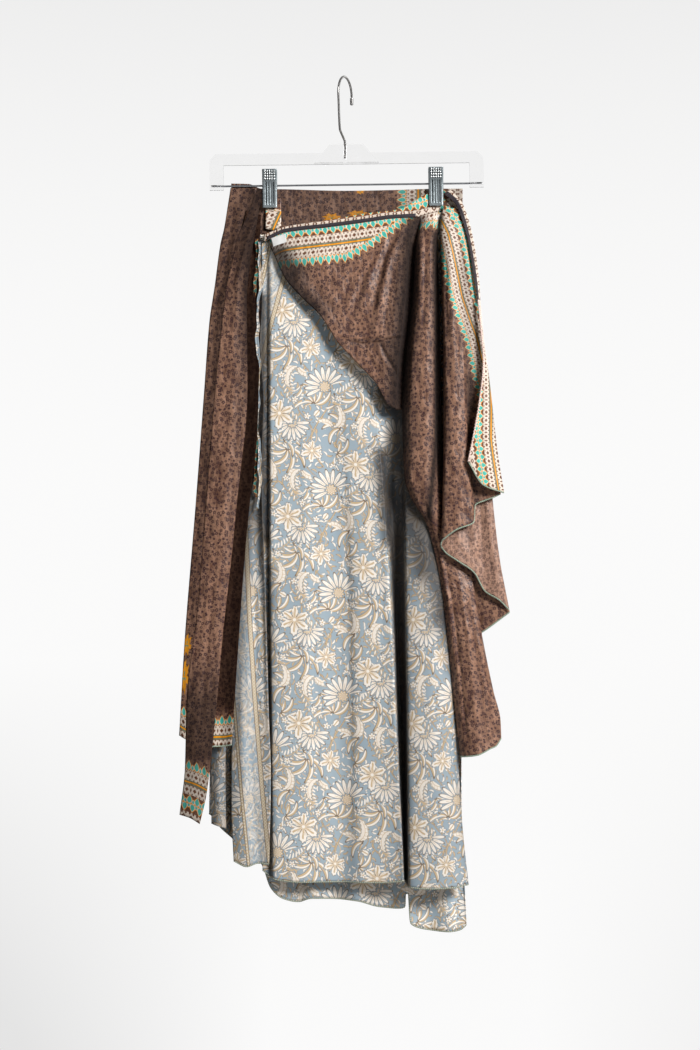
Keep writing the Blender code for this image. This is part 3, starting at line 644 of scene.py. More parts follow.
def creased(grid, creases):
    """Ridges (depth above 0) and furrows (below 0), each along a line of (across, drop) points."""
    height = np.zeros(grid.shape[:2])
    for depth, width, line in creases:
        nearest, along, _, length = along_line(grid, line)
        share = along / length
        fade = np.clip(4 * share * (1 - share), 0, 1) ** 0.6
        height += depth * fade * np.exp(-(nearest / width) ** 2)
    return lifted(grid, height)


def rippled(grid, amount, turn):
    """Shallow uneven waves, mostly upright, that grow from the top down to the hem."""
    across, drop = grid[..., 0], grid[..., 2]
    fall = np.linspace(0.15, 1, grid.shape[0])[:, None]
    wave = (np.sin(across / 11.0 + drop / 160.0 + turn)
            + 0.7 * np.sin(across / 6.3 - drop / 95.0 + 2.1 * turn)
            + 0.5 * np.sin(across / 23.0 + drop / 55.0 + 3.7 * turn)
            + 0.3 * np.sin(drop / 21.0 + across / 9.0 + 5.0 * turn))
    return lifted(grid, amount * fall * wave / 2.5)


def turned_under(grid, side, radius, reach):
    """The grid with its foot or its right edge rolled back behind itself, as along a fold."""
    moved = grid if side == "foot" else grid.transpose(1, 0, 2)
    edge, before = moved[-1], moved[-3]
    onward = edge - before
    onward /= np.linalg.norm(onward, axis=-1, keepdims=True)
    sideways = np.gradient(edge, axis=0)
    normal = np.cross(sideways, onward)
    normal *= np.where(normal[:, 1:2] < 0, -1, 1)
    normal /= np.linalg.norm(normal, axis=-1, keepdims=True)
    rows = [moved]
    for angle in np.linspace(0, math.pi, 7)[1:]:
        bend = onward * math.sin(angle) - normal * (1 - math.cos(angle))
        rows.append((edge + bend * radius)[None])
    for step in (0.5, 1.0):
        rows.append((edge - normal * 2 * radius - onward * reach * step)[None])
    longer = np.concatenate(rows)
    return longer if side == "foot" else longer.transpose(1, 0, 2)


def draped(folds, rows, per_fold, creases, ripple, turn):
    """A stretch as it hangs: lofted over its folds, creased, and faintly rippled."""
    return rippled(creased(loft(folds, rows, per_fold), creases), ripple, turn)


pressed_tab = creased(loft(TAB, 16, 8), ((2, 3, ((-94, 156), (-94, 196))),))
print("a ridge of 2 mm lifts the tab by", round(float(np.abs(pressed_tab - loft(TAB, 16, 8)).max()), 2), "mm")

# %% [markdown]
# ## Cloth coordinates
#
# A print has to follow the cloth, not the room. So every grid point gets two measures along the
# cloth, like a tape laid on it: how far across and how far down. They are stored as UV coordinates in
# metres. A second UV layer measures from the printed border instead: how far along it, and how far
# in from the cloth's selvedge. The prints are then drawn in real millimetres.

# %% Measures along the cloth
def tape(grid):
    """Millimetres along the cloth to every point: across from the first column, down from the top."""
    across = np.zeros(grid.shape[:2])
    down = np.zeros(grid.shape[:2])
    across[:, 1:] = np.cumsum(np.linalg.norm(np.diff(grid, axis=1), axis=2), axis=1)
    down[1:] = np.cumsum(np.linalg.norm(np.diff(grid, axis=0), axis=2), axis=0)
    return across, down


def print_places(grid):
    """Where each point lies in the print: level across, and down from the stretch's highest point."""
    across = np.zeros(grid.shape[:2])
    across[:, 1:] = np.cumsum(np.linalg.norm(np.diff(grid[..., :2], axis=1), axis=2), axis=1)
    down = tape(grid)[1] + (grid[:1, :, 2] - grid[0, :, 2].min())
    return across - across[:, across.shape[1] // 2, None], down


def grid_area(grid):
    one = np.cross(grid[1:, 1:] - grid[:-1, :-1], grid[1:, :-1] - grid[:-1, 1:])
    return float(np.linalg.norm(one, axis=-1).sum() / 2)


def no_border(grid, across, down):
    return across, np.full_like(across, 500.0)


def below_top(start, rate=1):
    """The border runs along the top edge: its measure is `start` there and grows downwards."""
    return lambda grid, across, down: (across, start + rate * down)


def above_hem(start):
    """The border runs along the hem: its measure is `start` there and grows upwards."""
    return lambda grid, across, down: (across, start + down[-1:] - down)


def beside(line, start, left, right):
    """The border runs beside a line of (drop, across) points, where its measure is `start`.

    The measure changes by `left` and by `right` for each mm on that side of the line.
    """
    def measure(grid, across, down):
        drops, places = np.array(line, float).T
        off = grid[..., 0] - np.interp(grid[..., 2], drops, places)
        return grid[..., 2] * 1.03, start + off * np.where(off < 0, left, right)
    return measure


print("the tab measures", [round(float(measure.max()), 1) for measure in tape(loft(TAB, 16, 8))], "mm")

# %% [markdown]
# ## Shade in the folds
#
# Dark cloth swallows light: deep in a groove it is lit only by more dark cloth, far darker than a few
# lights on a stage leave it. So a third UV layer holds how deep in shade each point lies, and the
# finishes darken their print by it. Part of it is worked out from how far a point lies behind its
# neighbours, and the rest is listed where one stretch hangs in front of another.

# %% Shade
def hollow(grid):
    """How far each point lies below the folds beside it: 0 on a ridge, 1 deep in a groove."""
    across, out = grid[..., 0], grid[..., 1]
    over = out.copy()
    for step in range(1, grid.shape[1]):
        fall = 0.35 * np.abs(across[:, step:] - across[:, :-step])
        over[:, step:] = np.maximum(over[:, step:], out[:, :-step] - fall)
        over[:, :-step] = np.maximum(over[:, :-step], out[:, step:] - fall)
    return np.clip((over - out - 1.5) / 11, 0, 1)


def shaded(*rows):
    """Extra shade, from rows of (drop, shade at the left edge ... shade at the right edge)."""
    table = np.array(rows, float)

    def measure(grid):
        at = np.clip(grid[..., 2], table[0, 0], table[-1, 0])
        steps = smooth(table[:, 0], table[:, 1:], at.ravel()).reshape(*at.shape, -1)
        share = np.linspace(0, table.shape[1] - 2, grid.shape[1])
        low = np.minimum(share.astype(int), table.shape[1] - 3)
        columns = np.arange(grid.shape[1])
        mixed = steps[:, columns, low] * (1 - share + low) + steps[:, columns, low + 1] * (share - low)
        return np.clip(mixed, 0, 1)
    return measure


def even_shade(amount):
    return lambda grid: np.full(grid.shape[:2], amount)


def shadows(rows, *more):
    """Soft shades that fade away from lines, and more shades on top of them.

    A row is a line of (across, drop) points, how far its shade reaches, and how strong it is.
    """
    def measure(grid):
        light = 1
        for line, reach, strength in rows:
            light = light * (1 - strength * np.exp(-(along_line(grid, line)[0] / reach) ** 2))
        for shade in more:
            light = light * (1 - shade(grid))
        return 1 - light
    return measure


print("deepest groove of the pleat:", round(float(hollow(loft(OUTER_PLEAT, 60, 6)).max()), 2), "of 1")

# %% [markdown]
# ## From a grid to a piece
#
# A grid becomes a mesh of quads with its cloth coordinates, and a Solidify modifier gives the cloth its
# thickness. Every piece then rides on the model's one body. What a piece was cut to is measured on its
# grid as if it were laid out flat.

# %% Shells of cloth and their cut
def add_uv(mesh, name, across, down):
    layer = mesh.uv_layers.new(name=name)
    corner = np.empty(len(mesh.loops), int)
    mesh.loops.foreach_get("vertex_index", corner)
    pairs = np.column_stack((across.ravel(), down.ravel()))[corner] * MM
    layer.data.foreach_set("uv", pairs.ravel())


def in_metres(grid):
    """Points (across, out, drop) in millimetres as x, y and z in metres. The front faces -y."""
    return np.column_stack((grid[..., 0].ravel(), -grid[..., 1].ravel(), -grid[..., 2].ravel())) * MM


def new_piece(name, mesh, finish):
    """An object for the mesh, in its finish, that belongs to the model's one body."""
    mesh.materials.append(finish)
    mesh.shade_smooth()
    piece = bpy.data.objects.new(name, mesh)
    scene.collection.objects.link(piece)
    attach(piece, "root")
    return piece


def shell(name, grid, wall, finish, border=no_border, mitre=None, phase=(0, 0), shade=None,
          grooves=True):
    """A thin closed shell of cloth on the grid, with its cloth coordinates.

    The phase shifts its print. Painted shade darkens its grooves unless `grooves` is off, as on the back,
    and `shade` adds more painted shade.
    """
    rows, columns = grid.shape[:2]
    index = np.arange(rows * columns).reshape(rows, columns)
    quads = np.stack((index[1:, :-1], index[1:, 1:], index[:-1, 1:], index[:-1, :-1]), -1)
    mesh = bpy.data.meshes.new(name)
    mesh.from_pydata(in_metres(grid).tolist(), [], quads.reshape(-1, 4).tolist())
    across, down = tape(grid)
    level, below = print_places(grid)
    add_uv(mesh, "cloth", level + phase[0], below + phase[1])
    add_uv(mesh, "border", *border(grid, across, down))
    if mitre is not None:
        add_uv(mesh, "mitre", *mitre(grid, across, down))
    deep = hollow(grid) if grooves else np.zeros((rows, columns))
    if shade is not None:
        deep = 1 - (1 - deep) * (1 - shade(grid))
    add_uv(mesh, "shade", deep, deep)
    piece = new_piece(name, mesh, finish)
    thick = piece.modifiers.new("cloth thickness", "SOLIDIFY")
    thick.thickness = wall * MM
    thick.offset = 0
    return piece


CUTS = []


def declare(piece, grid, held):
    """Note and print what the piece was cut to: its longest row and column, the row narrowed by its flat
    area.
    """
    across, down = tape(grid)
    width, length = across.max() * MM, down.max() * MM
    area = grid_area(grid) * MM * MM
    width = min(width, 2 * area / length)      # a long taper is cut from a narrower strip
    area = min(area, width * length)
    CUTS.append((piece.name, round(width * 1000), round(length * 1000)))
    print(f"{piece.name}: cut {width * 1000:.0f} x {length * 1000:.0f} mm, {held}")


print("the tab's cloth is", round(grid_area(loft(TAB, 16, 8))), "mm2")

# %% [markdown]
# ## Overlocked edges
#
# The hems aren't turned up: an overlocker trims the edge and wraps thread round it, which leaves a
# firm, slightly knobbly cord along it. It is made as a tube along the hem whose thickness swells once
# for every stitch, and the swelling winds round the tube as the thread does.

# %% Overlock
STITCH = 2.4                 # from one stitch to the next, mm


def even_path(points, step):
    """The path's points, spaced evenly."""
    points = np.asarray(points, float)
    run = np.concatenate(([0], np.cumsum(np.linalg.norm(np.diff(points, axis=0), axis=1))))
    places = np.linspace(0, run[-1], max(2, int(run[-1] / step) + 1))
    return np.column_stack([np.interp(places, run, points[:, i]) for i in range(3)]), places


def tube(name, points, radius, finish, step=0.8, sides=6, swell=0.0, pitch=STITCH):
    """A tube along a path in millimetres, closed at both ends, swelling once a stitch."""
    path, run = even_path(points, step)
    ahead = np.gradient(path, axis=0)
    ahead /= np.linalg.norm(ahead, axis=1, keepdims=True)
    side = np.cross(ahead, (0.05, 1.0, 0.1))
    side /= np.linalg.norm(side, axis=1, keepdims=True)
    face = np.cross(side, ahead)
    angles = np.linspace(0, 2 * math.pi, sides, endpoint=False)
    thick = radius * (1 + swell * np.sin(2 * math.pi * run[:, None] / pitch + angles[None]))
    thick[[0, -1]] *= 0.5
    ring = (path[:, None] + (thick * np.cos(angles))[..., None] * side[:, None]
            + (thick * np.sin(angles))[..., None] * face[:, None])
    rows, columns = ring.shape[:2]
    index = np.arange(rows * columns).reshape(rows, columns)
    wrapped = np.concatenate((index, index[:, :1]), axis=1)
    quads = np.stack((wrapped[:-1, :-1], wrapped[:-1, 1:], wrapped[1:, 1:], wrapped[1:, :-1]), -1)
    faces = quads.reshape(-1, 4).tolist() + [index[0, ::-1].tolist(), index[-1].tolist()]
    mesh = bpy.data.meshes.new(name)
    mesh.from_pydata(in_metres(ring).tolist(), [], faces)
    add_uv(mesh, "cloth", np.tile(angles * radius, rows), np.repeat(run, columns))
    return new_piece(name, mesh, finish)


print("stitches", STITCH, "mm apart")

# %% [markdown]
# ## The brown satin
#
# The satin is closely printed with dark five-petalled flowers about four millimetres wide and with
# specks between them. Voronoi cells give each flower its own place: the distance and angle from the
# middle of the cell draw the petals, and the cell's random colour varies their size and turn. Fine
# upright streaks in the colour and the gloss stand for the satin's long floats of thread; in the
# colour they and soft crinkles are painted sheen.

# %% Border print
SATIN = srgb(162, 123, 100)
SATIN_DEEP = srgb(98, 68, 54)
SATIN_REVERSE = srgb(206, 168, 148)
PLUM = srgb(50, 31, 38)
SHADE = (0.008, 0.004, 0.003)
CREAM = srgb(222, 206, 190)
BARK = srgb(108, 70, 50)
MOSS = srgb(118, 128, 106)
ORANGE = srgb(240, 158, 34)
TEAL = srgb(76, 184, 168)
BORDER_WIDTH = 79            # from the selvedge to the tips of the inner leaves, mm
BORDER_REPEAT = 10.5
SELVEDGE_END = 14            # up the border, mm: where the selvedge band ends, then the two rows of
LEAF_ROWS_END = 36           # leaves, then the lozenges
LOZENGES_END = 67
DEEPEST = 0.96               # how much of the print the deepest shade takes away


def repeated(place, pitch, shift=0.0):
    """The place within its repeat, measured from the middle of the repeat."""
    return ((place / pitch + shift).do("FRACT") - 0.5) * pitch


def leaf(along, up, middle, half, width):
    """Below 1 inside a pointed leaf. Its tip is on the side where half is positive."""
    height = (up - middle) / half
    return abs(along) / (width * (1 - 0.45 * height).do("MAXIMUM", 0.1)) + height * height


def diamond(along, up, middle, wide, high):
    return abs(along) / wide + abs(up - middle) / high


def band(up, low, high):
    return (up > low) * (up < high)


def border_print(recipe, field, along, up):
    """The woven-look border: selvedge band, two rows of leaves, diamonds, stripes, diamonds, leaves."""
    mix = recipe.mix
    up = abs(up)
    big = repeated(along, BORDER_REPEAT)
    between = repeated(along, BORDER_REPEAT, 0.5)
    small = repeated(along, BORDER_REPEAT / 2)
    tiny = repeated(along, 2.6)
    colour = mix(field, CREAM, band(up, LEAF_ROWS_END, LOZENGES_END) + (up < SELVEDGE_END))
    colour = mix(colour, BARK, band(up, SELVEDGE_END, LEAF_ROWS_END))
    # selvedge band
    colour = mix(colour, BARK, diamond(big, up, 7, 3.4, 4.0) < 1)
    colour = mix(colour, CREAM, diamond(big, up, 7, 1.4, 1.8) < 1)
    colour = mix(colour, BARK, diamond(small, up, 13, 1.6, 2.2) < 1)
    colour = mix(colour, BARK, diamond(small, up, 1.2, 1.6, 1.6) < 1)
    # two rows of leaves that point away from each other, with a zigzag between them
    for middle, half, row, other_row in ((20.5, -4.8, big, between), (30.5, 4.8, between, big)):
        shape = leaf(row, up, middle, half, 2.6)
        dot = leaf(other_row, up, middle - half * 0.5, half * 0.5, 1.5)
        colour = mix(colour, ORANGE, (shape < 1.75) + (dot < 2.2))
        colour = mix(colour, CREAM, (shape < 1.3) + (dot < 1.5))
        colour = mix(colour, TEAL, (shape < 1.0) + (dot < 0.9))
    # diamonds on cream, twice, with green and orange stripes between them
    for middle in (42, 59.5):
        colour = mix(colour, BARK, diamond(big, up, middle, 2.6, 2.8) < 1)
        colour = mix(colour, BARK, diamond(between, up, middle, 1.1, 3.4) < 1)
        colour = mix(colour, BARK, diamond(small, up, middle - 4.7, 1.2, 1.2) < 1)
        colour = mix(colour, BARK, diamond(small, up, middle + 4.7, 1.2, 1.2) < 1)
    colour = mix(colour, MOSS, band(up, 48, 54))
    colour = mix(colour, BARK, band(up, 47.5, 48.2) + band(up, 49.9, 50.4) + band(up, 52.4, 52.9))
    colour = mix(colour, ORANGE, band(up, 50.4, 52.4))
    colour = mix(colour, BARK, diamond(tiny, up, 66.2, 0.8, 0.9) < 1)
    # the inner leaves, whose tips reach into the brown field
    shape = leaf(big, up, 73, 5.6, 2.5)
    dot = leaf(between, up, 70.5, 3.2, 1.5)
    colour = mix(colour, ORANGE, (shape < 1.6) + (dot < 1.9))
    colour = mix(colour, CREAM, (shape < 1.22) + (dot < 1.35))
    return mix(colour, TEAL, (shape < 0.98) + (dot < 0.85))


print("the border is", BORDER_WIDTH, "mm deep and repeats every", BORDER_REPEAT, "mm")

# %% Brown satin
FLOWER_PITCH = 5.6           # from flower to flower, mm
FLOWER_SIZE = 2.5
SPECK_PITCH = 2.9
SPECK_SIZE = 0.72


def in_shade(recipe, colour):
    """Cloth deep in a groove only sees other dark cloth, so its print sinks into shade."""
    deep, _ = recipe.uv("shade")
    return recipe.mix(colour, SHADE, deep * DEEPEST)


def scattered(recipe, across, along, pitch, randomness):
    """A point's place from the nearest of many scattered middles, and two random numbers of that one."""
    cell = recipe.node("TexVoronoi", {"voronoi_dimensions": "2D"},
                       {"Vector": recipe.vector(across / pitch, along / pitch), "Scale": 1.0,
                        "Randomness": randomness})
    middle_x, middle_y, _ = recipe.split(cell.out("Position"))
    pick, other, _ = recipe.split(cell.out("Color"))
    return across - middle_x * pitch, along - middle_y * pitch, pick, other


def polar(x, y):
    return (x * x + y * y).do("SQRT"), y.do("ARCTAN2", x)


def flowers(recipe, across, along, pitch, petals, size):
    """How far a point lies outside the nearest flower and from its middle, in mm, and its random pick."""
    x, y, pick, other = scattered(recipe, across, along, pitch, 0.85)
    radius, angle = polar(x, y)
    edge = size * (0.62 + 0.5 * pick) * (0.8 + 0.2 * (angle * petals + other * 6).do("SINE"))
    return radius - edge, radius, pick


def satin(name, mitre=False, spots=(), gloss=0.32, paler=0.0):
    """Brown satin. Each spot is an orange blossom: across, along, width and height from its middle."""
    made, recipe, shader = new_material(name, 0.36, Specular_IOR_Level=gloss)
    across, along = recipe.uv("cloth")
    edge_along, edge_up = recipe.uv("border")
    streaks = recipe.noise(recipe.vector(across / 1.5, along / 24), 1.0, 3.0, 0.6)
    crinkle = recipe.noise(recipe.vector(across / 9, along / 21), 1.0, 2.0, 0.55)
    patches = recipe.noise(recipe.vector(across / 30, along / 46), 1.0, 2.0)
    # painted sheen: the streaks and crinkles lighten the ground, and the patches shift its colour at random
    sheen_and_tone = (streaks * 0.7 + crinkle * 2.2 + patches * 0.9 - 1.35).within(0.0, 1.0)
    ground = recipe.mix(SATIN_DEEP, SATIN, sheen_and_tone)
    if paler:
        ground = recipe.mix(ground, SATIN_REVERSE, paler)
    gap, radius, pick = flowers(recipe, across, along, FLOWER_PITCH, 5, FLOWER_SIZE)
    eye = (radius < 0.7) * (pick > 0.3)
    specks, _, _ = flowers(recipe, across + 31, along + 17, SPECK_PITCH, 3, SPECK_SIZE)
    dark = ((gap < 0) * (1 - eye) + (specks < 0) * 0.75).do("MINIMUM", 0.96 * (1 - paler))
    field = recipe.mix(ground, PLUM, dark)
    colour = border_print(recipe, field, edge_along, edge_up)
    if mitre:
        mitre_along, mitre_up = recipe.uv("mitre")
        crossing = border_print(recipe, field, mitre_along, mitre_up)
        colour = recipe.mix(colour, crossing, mitre_up > LOZENGES_END)
    for x, y, wide, high in spots:
        colour = orange_blossom(recipe, colour, across - x, along - y, wide, high)
    feed(shader.inputs["Base Color"], in_shade(recipe, colour))
    feed(shader.inputs["Roughness"], 0.27 + streaks * 0.2 + dark * 0.08 + recipe.uv("shade")[0] * 0.5)
    weave = (across * 14).do("SINE") * (along * 9).do("SINE")
    rough = recipe.bump(crinkle + patches * 1.5, 0.8, 0.0026)
    feed(shader.inputs["Normal"], recipe.bump(weave * 0.2 + streaks, 0.15, 0.0005, rough))
    return made


def orange_blossom(recipe, colour, x, y, wide, high):
    """One large ragged orange blossom with small green leaves, at its own place on the cloth."""
    radius, angle = polar(x / wide, y / high)
    ragged = 0.78 + 0.16 * (angle * 7).do("SINE") + 0.10 * (angle * 17 + 1).do("SINE")
    colour = recipe.mix(colour, ORANGE, radius < ragged)
    leaf_place = (radius < ragged * 0.4) * ((angle * 3).do("SINE") > 0.4)
    return recipe.mix(colour, srgb(84, 150, 120), leaf_place)


print("flowers every", FLOWER_PITCH, "mm, specks every", SPECK_PITCH, "mm")

# %% [markdown]
# ## The blue floral print
#
# The blue cloth has an all-over floral of ivory and tan on powder blue: fans of long petals, ragged
# blooms, curved two-tone leaves, ferns, little stars and winding stems. Each motif is a small formula
# that says how far outside its outline a point lies, below 0 inside. One half-drop lattice per motif
# repeats it over the cloth, as a printing screen does, and the motifs are painted one over another,
# each with a thin dark outline and a clear margin. The layout is a generic one.

# %% Motif formulas
POWDER = srgb(164, 178, 186)
POWDER_DEEP = srgb(146, 163, 175)
IVORY = srgb(242, 233, 222)
TAN = srgb(204, 178, 142)
LINE = srgb(126, 108, 88)
REPEAT_WIDE = 94             # mm
REPEAT_HIGH = 134
LEAFLET_PITCH = 7.4


class Motif:
    """A motif's own coordinates: its lattice, its turn, and the polar measures of a point in it."""

    def __init__(self, across, along, x, y, turn, size=1.0):
        column = (across + x) / REPEAT_WIDE
        row = (along + y) / REPEAT_HIGH + column.do("FLOOR") * 0.5
        left = (column.do("FRACT") - 0.5) * (REPEAT_WIDE / size)
        up = (row.do("FRACT") - 0.5) * (REPEAT_HIGH / size)
        cos, sin = math.cos(math.radians(turn)), math.sin(math.radians(turn))
        self.x = left * cos + up * sin
        self.y = up * cos - left * sin

    def polar(self):
        return polar(self.x, self.y)


def outside_fan(angle, half):
    """A large number outside the fan of angles round the motif's own up direction."""
    return ((abs(angle - math.pi / 2) > half) * (angle > -math.pi / 2)
            + (angle < -math.pi / 2)) * 9


def petals(radius, angle, count, inner, outer, width):
    """How far outside a ring of long petals a point lies, and its side within its petal."""
    side = ((angle * (count / (2 * math.pi))).do("FRACT") - 0.5) * (2 * math.pi / count)
    offset = radius * side
    reach = (radius - (inner + outer) / 2) / ((outer - inner) / 2)
    belly = width * (1 + reach * 0.25)
    return (offset / belly) ** 2 + reach * reach - 1, side


def paint(recipe, colour, ground, shape, fill, margin, line):
    """Lay a motif down: a clear margin round it, its outline, then its fill."""
    colour = recipe.mix(colour, ground, shape < margin)
    colour = recipe.mix(colour, LINE, shape < line)
    return recipe.mix(colour, fill, shape < 0)


print("the print repeats every", REPEAT_WIDE, "mm across and", REPEAT_HIGH, "mm down")

# %% Flowers
def aster(recipe, colour, ground, spot):
    """A fan of long ivory petals over a dotted tan heart."""
    radius, angle = spot.polar()
    shape, side = petals(radius, angle, 17, 6.5, 26, 2.1)
    vein = abs(side) * radius < 0.28
    colour = paint(recipe, colour, ground, shape + outside_fan(angle, 1.95),
                   recipe.mix(IVORY, TAN, vein * (radius < 17)), 1.3, 0.42)
    heart = radius / (6.4 + 1.1 * (angle * 9).do("SINE")) - 1
    dots = ((angle * 8).do("SINE") * (radius * 2.1).do("SINE")) > 0.35
    return paint(recipe, colour, ground, heart, recipe.mix(TAN, IVORY, dots), 0.3, 0.12)


def bloom(recipe, colour, ground, spot):
    """A lily-like flower of six pointed petals, feathered tan from its heart outwards."""
    radius, angle = spot.polar()
    lobes = abs((angle * 3).do("COSINE"))
    reach = 7.5 + 11.5 * lobes ** 1.3 + 0.8 * (angle * 31).do("SINE") + 1.5 * (angle + 1).do("SINE")
    shape = radius / reach - 1
    feather = radius < 8 + 3.5 * (angle * 18).do("SINE") + 3 * lobes
    seam = (lobes * radius < 1.3) * (radius < 12)
    rib = ((1 - lobes) * radius < 0.35) * (radius < 16)
    fill = recipe.mix(IVORY, TAN, feather * ((angle * 30).do("SINE") > -0.2) + seam + rib)
    fill = recipe.mix(fill, LINE, seam * (radius > 4))
    return paint(recipe, colour, ground, shape, recipe.mix(fill, IVORY, radius < 2.2), 0.14, 0.05)


def star(recipe, colour, ground, spot):
    """A small five-petalled star with a tan eye."""
    radius, angle = spot.polar()
    shape = radius / (3.1 + 1.35 * (angle * 5).do("SINE")) - 1
    fill = recipe.mix(IVORY, TAN, radius < 1.1)
    return paint(recipe, colour, ground, shape, fill, 0.5, 0.2)


def bud(recipe, colour, ground, spot):
    """A tulip-like bud on a short curl of stem."""
    radius, angle = spot.polar()
    curl = (abs(radius - 11 - angle * 0.8) < 0.55) * (angle > -1.4) * (angle < 2.2)
    colour = recipe.mix(colour, TAN, curl)
    x, y = spot.x + 7.2, spot.y - 9.4
    shape = (x / 3.4) ** 2 + (y / 4.6) ** 2 - 1 + 0.3 * (x * 2.2).do("COSINE") * (y > 1.5)
    fill = recipe.mix(IVORY, TAN, abs(x) < 0.7)
    return paint(recipe, colour, ground, shape, fill, 0.7, 0.28)


print("flowers:", [draw.__name__ for draw in (aster, bloom, star, bud)])

# %% Leaves, ferns and stems
def leaves(recipe, colour, ground, spot, count, fan, outer, width, twist):
    """Curved leaves that spring from one point, ivory on one side of the rib and tan on the other."""
    radius, angle = spot.polar()
    shape, side = petals(radius, angle + radius * twist, count, 2.5, outer, width)
    fill = recipe.mix(IVORY, TAN, side > 0)
    return paint(recipe, colour, ground, shape + outside_fan(angle, fan), fill, 1.1, 0.36)


def plume(recipe, colour, ground, spot, across, along):
    """One or two broad bent leaves, ivory with fine dots and ribs, with a toothed tan back."""
    radius, angle = spot.polar()
    shape, side = petals(radius, angle + radius * 0.05, 3, 1.5, 29, 5.6)
    shape = shape + 0.16 * (radius * 1.5).do("SINE") + outside_fan(angle, 1.3)
    dots = ((across * 4.2).do("SINE") * (along * 4.2).do("SINE")) > 0.55
    ribs = abs((radius * 0.9 - abs(side) * 9).do("SINE")) < 0.2
    fill = recipe.mix(IVORY, TAN, dots * 0.7 + ribs * (side > 0) + (abs(side) * radius < 0.4))
    colour = recipe.mix(colour, TAN, shape < 0.62 + 0.25 * (radius * 3.1).do("SINE"))
    return paint(recipe, colour, ground, shape, fill, 0.3, 0.14)


def filler(recipe, colour, across, along):
    """Small loose leaflets and drops that fill the ground between the large motifs."""
    x, y, pick, other = scattered(recipe, across, along, LEAFLET_PITCH, 0.75)
    turn = other * 6.28
    cos, sin = turn.do("COSINE"), turn.do("SINE")
    long, wide = x * cos + y * sin, y * cos - x * sin
    bent = wide + long * long * 0.09
    shape = (long / 3.6) ** 2 + (bent / 1.05) ** 2 - 1
    colour = recipe.mix(colour, LINE, (shape < 0.55) * (pick > 0.12))
    return recipe.mix(colour, recipe.mix(TAN, IVORY, pick > 0.5), (shape < 0) * (pick > 0.12))


def fern(recipe, colour, ground, spot):
    """A bent spray of small open leaflets on a tan rib."""
    radius, angle = spot.polar()
    along, off = angle * 30, radius - 30
    away = abs(off)
    place = ((along + away * 0.7) / 5.4).do("FRACT") * 5.4 - 2.7
    leaflet = (place / 1.55) ** 2 + ((away - 4.4) / 3.4) ** 2 - 1
    ends = (abs(along) > 27) * 9
    colour = paint(recipe, colour, ground, leaflet + ends,
                   recipe.mix(IVORY, TAN, (leaflet > -0.62) * (off > 0)), 0.7, 0.22)
    return recipe.mix(colour, TAN, (away < 0.6) * (abs(along) < 31))


def stem(recipe, colour, across, along, x, wave, turns, thick):
    """A stem that winds down the cloth through every repeat."""
    column = (across + x) / REPEAT_WIDE
    place = (column.do("FRACT") - 0.5) * REPEAT_WIDE
    phase = (along / REPEAT_HIGH + column.do("FLOOR") * 0.5) * (2 * math.pi * turns)
    slope = phase.do("COSINE") * (wave * 2 * math.pi * turns / REPEAT_HIGH)
    off = abs(place - wave * phase.do("SINE")) / (1 + slope * slope).do("SQRT")
    colour = recipe.mix(colour, LINE, off < thick + 0.35)
    return recipe.mix(colour, TAN, off < thick)


print("greenery:", [draw.__name__ for draw in (leaves, plume, filler, fern, stem)])

# %% The blue print and its finish
BLUE_BORDER = 27             # between the two tan lines of its border, mm
# Columns: across, along, turn, leaves in a full ring, half of the fan, length, width, twist.
LEAF_SPRAYS = (
    (28, 18, 200, 9, 2.2, 27, 2.6, 0.035),
    (64, 94, 20, 8, 1.9, 30, 2.9, -0.03),
    (87, 52, 110, 7, 1.4, 24, 2.8, 0.04),
    (69, 104, 250, 8, 1.5, 22, 2.4, -0.045),
    (1, 88, 300, 8, 1.7, 23, 2.5, 0.04),
    (44, 44, 330, 9, 1.2, 20, 2.2, -0.04),
)


def floral(recipe, across, along):
    patches = recipe.noise(recipe.vector(across / 46, along / 60), 1.0, 2.0)
    ground = recipe.mix(POWDER_DEEP, POWDER, patches * 1.4 - 0.2)
    spot = lambda *place, **more: Motif(across, along, *place, **more)
    colour = filler(recipe, ground, across, along)
    for row in ((18, 15, 1, 0.65), (64, -11, 2, 0.5), (88, 7, 3, 0.4), (40, 9, 2, 0.4)):
        colour = stem(recipe, colour, across, along, *row)
    for place in ((12, 8, 40), (61, 80, 200), (81, 28, 120), (37, 110, 300), (84, 96, 20)):
        colour = bud(recipe, colour, ground, spot(*place))
    for place in ((32, 48, 150), (76, 112, 330), (2, 60, 60)):
        colour = fern(recipe, colour, ground, spot(*place))
    for row in LEAF_SPRAYS:
        colour = leaves(recipe, colour, ground, spot(*row[:3]), *row[3:])
    for place in ((48, 67, 20), (4, 121, 190)):
        colour = plume(recipe, colour, ground, spot(*place), across, along)
    for place in ((8, 70, 15), (52, 24, 190), (70, 56, 250), (24, 88, 80), (89, 92, 0), (60, 104, 40),
                  (36, 2, 120), (90, 10, 200)):
        colour = star(recipe, colour, ground, spot(*place))
    colour = aster(recipe, colour, ground, spot(13, 40, 165))
    colour = aster(recipe, colour, ground, spot(56, 127, 10, size=0.85))
    colour = bloom(recipe, colour, ground, spot(72, 6, 35))
    colour = bloom(recipe, colour, ground, spot(33, 91, 100, size=0.75))
    return colour


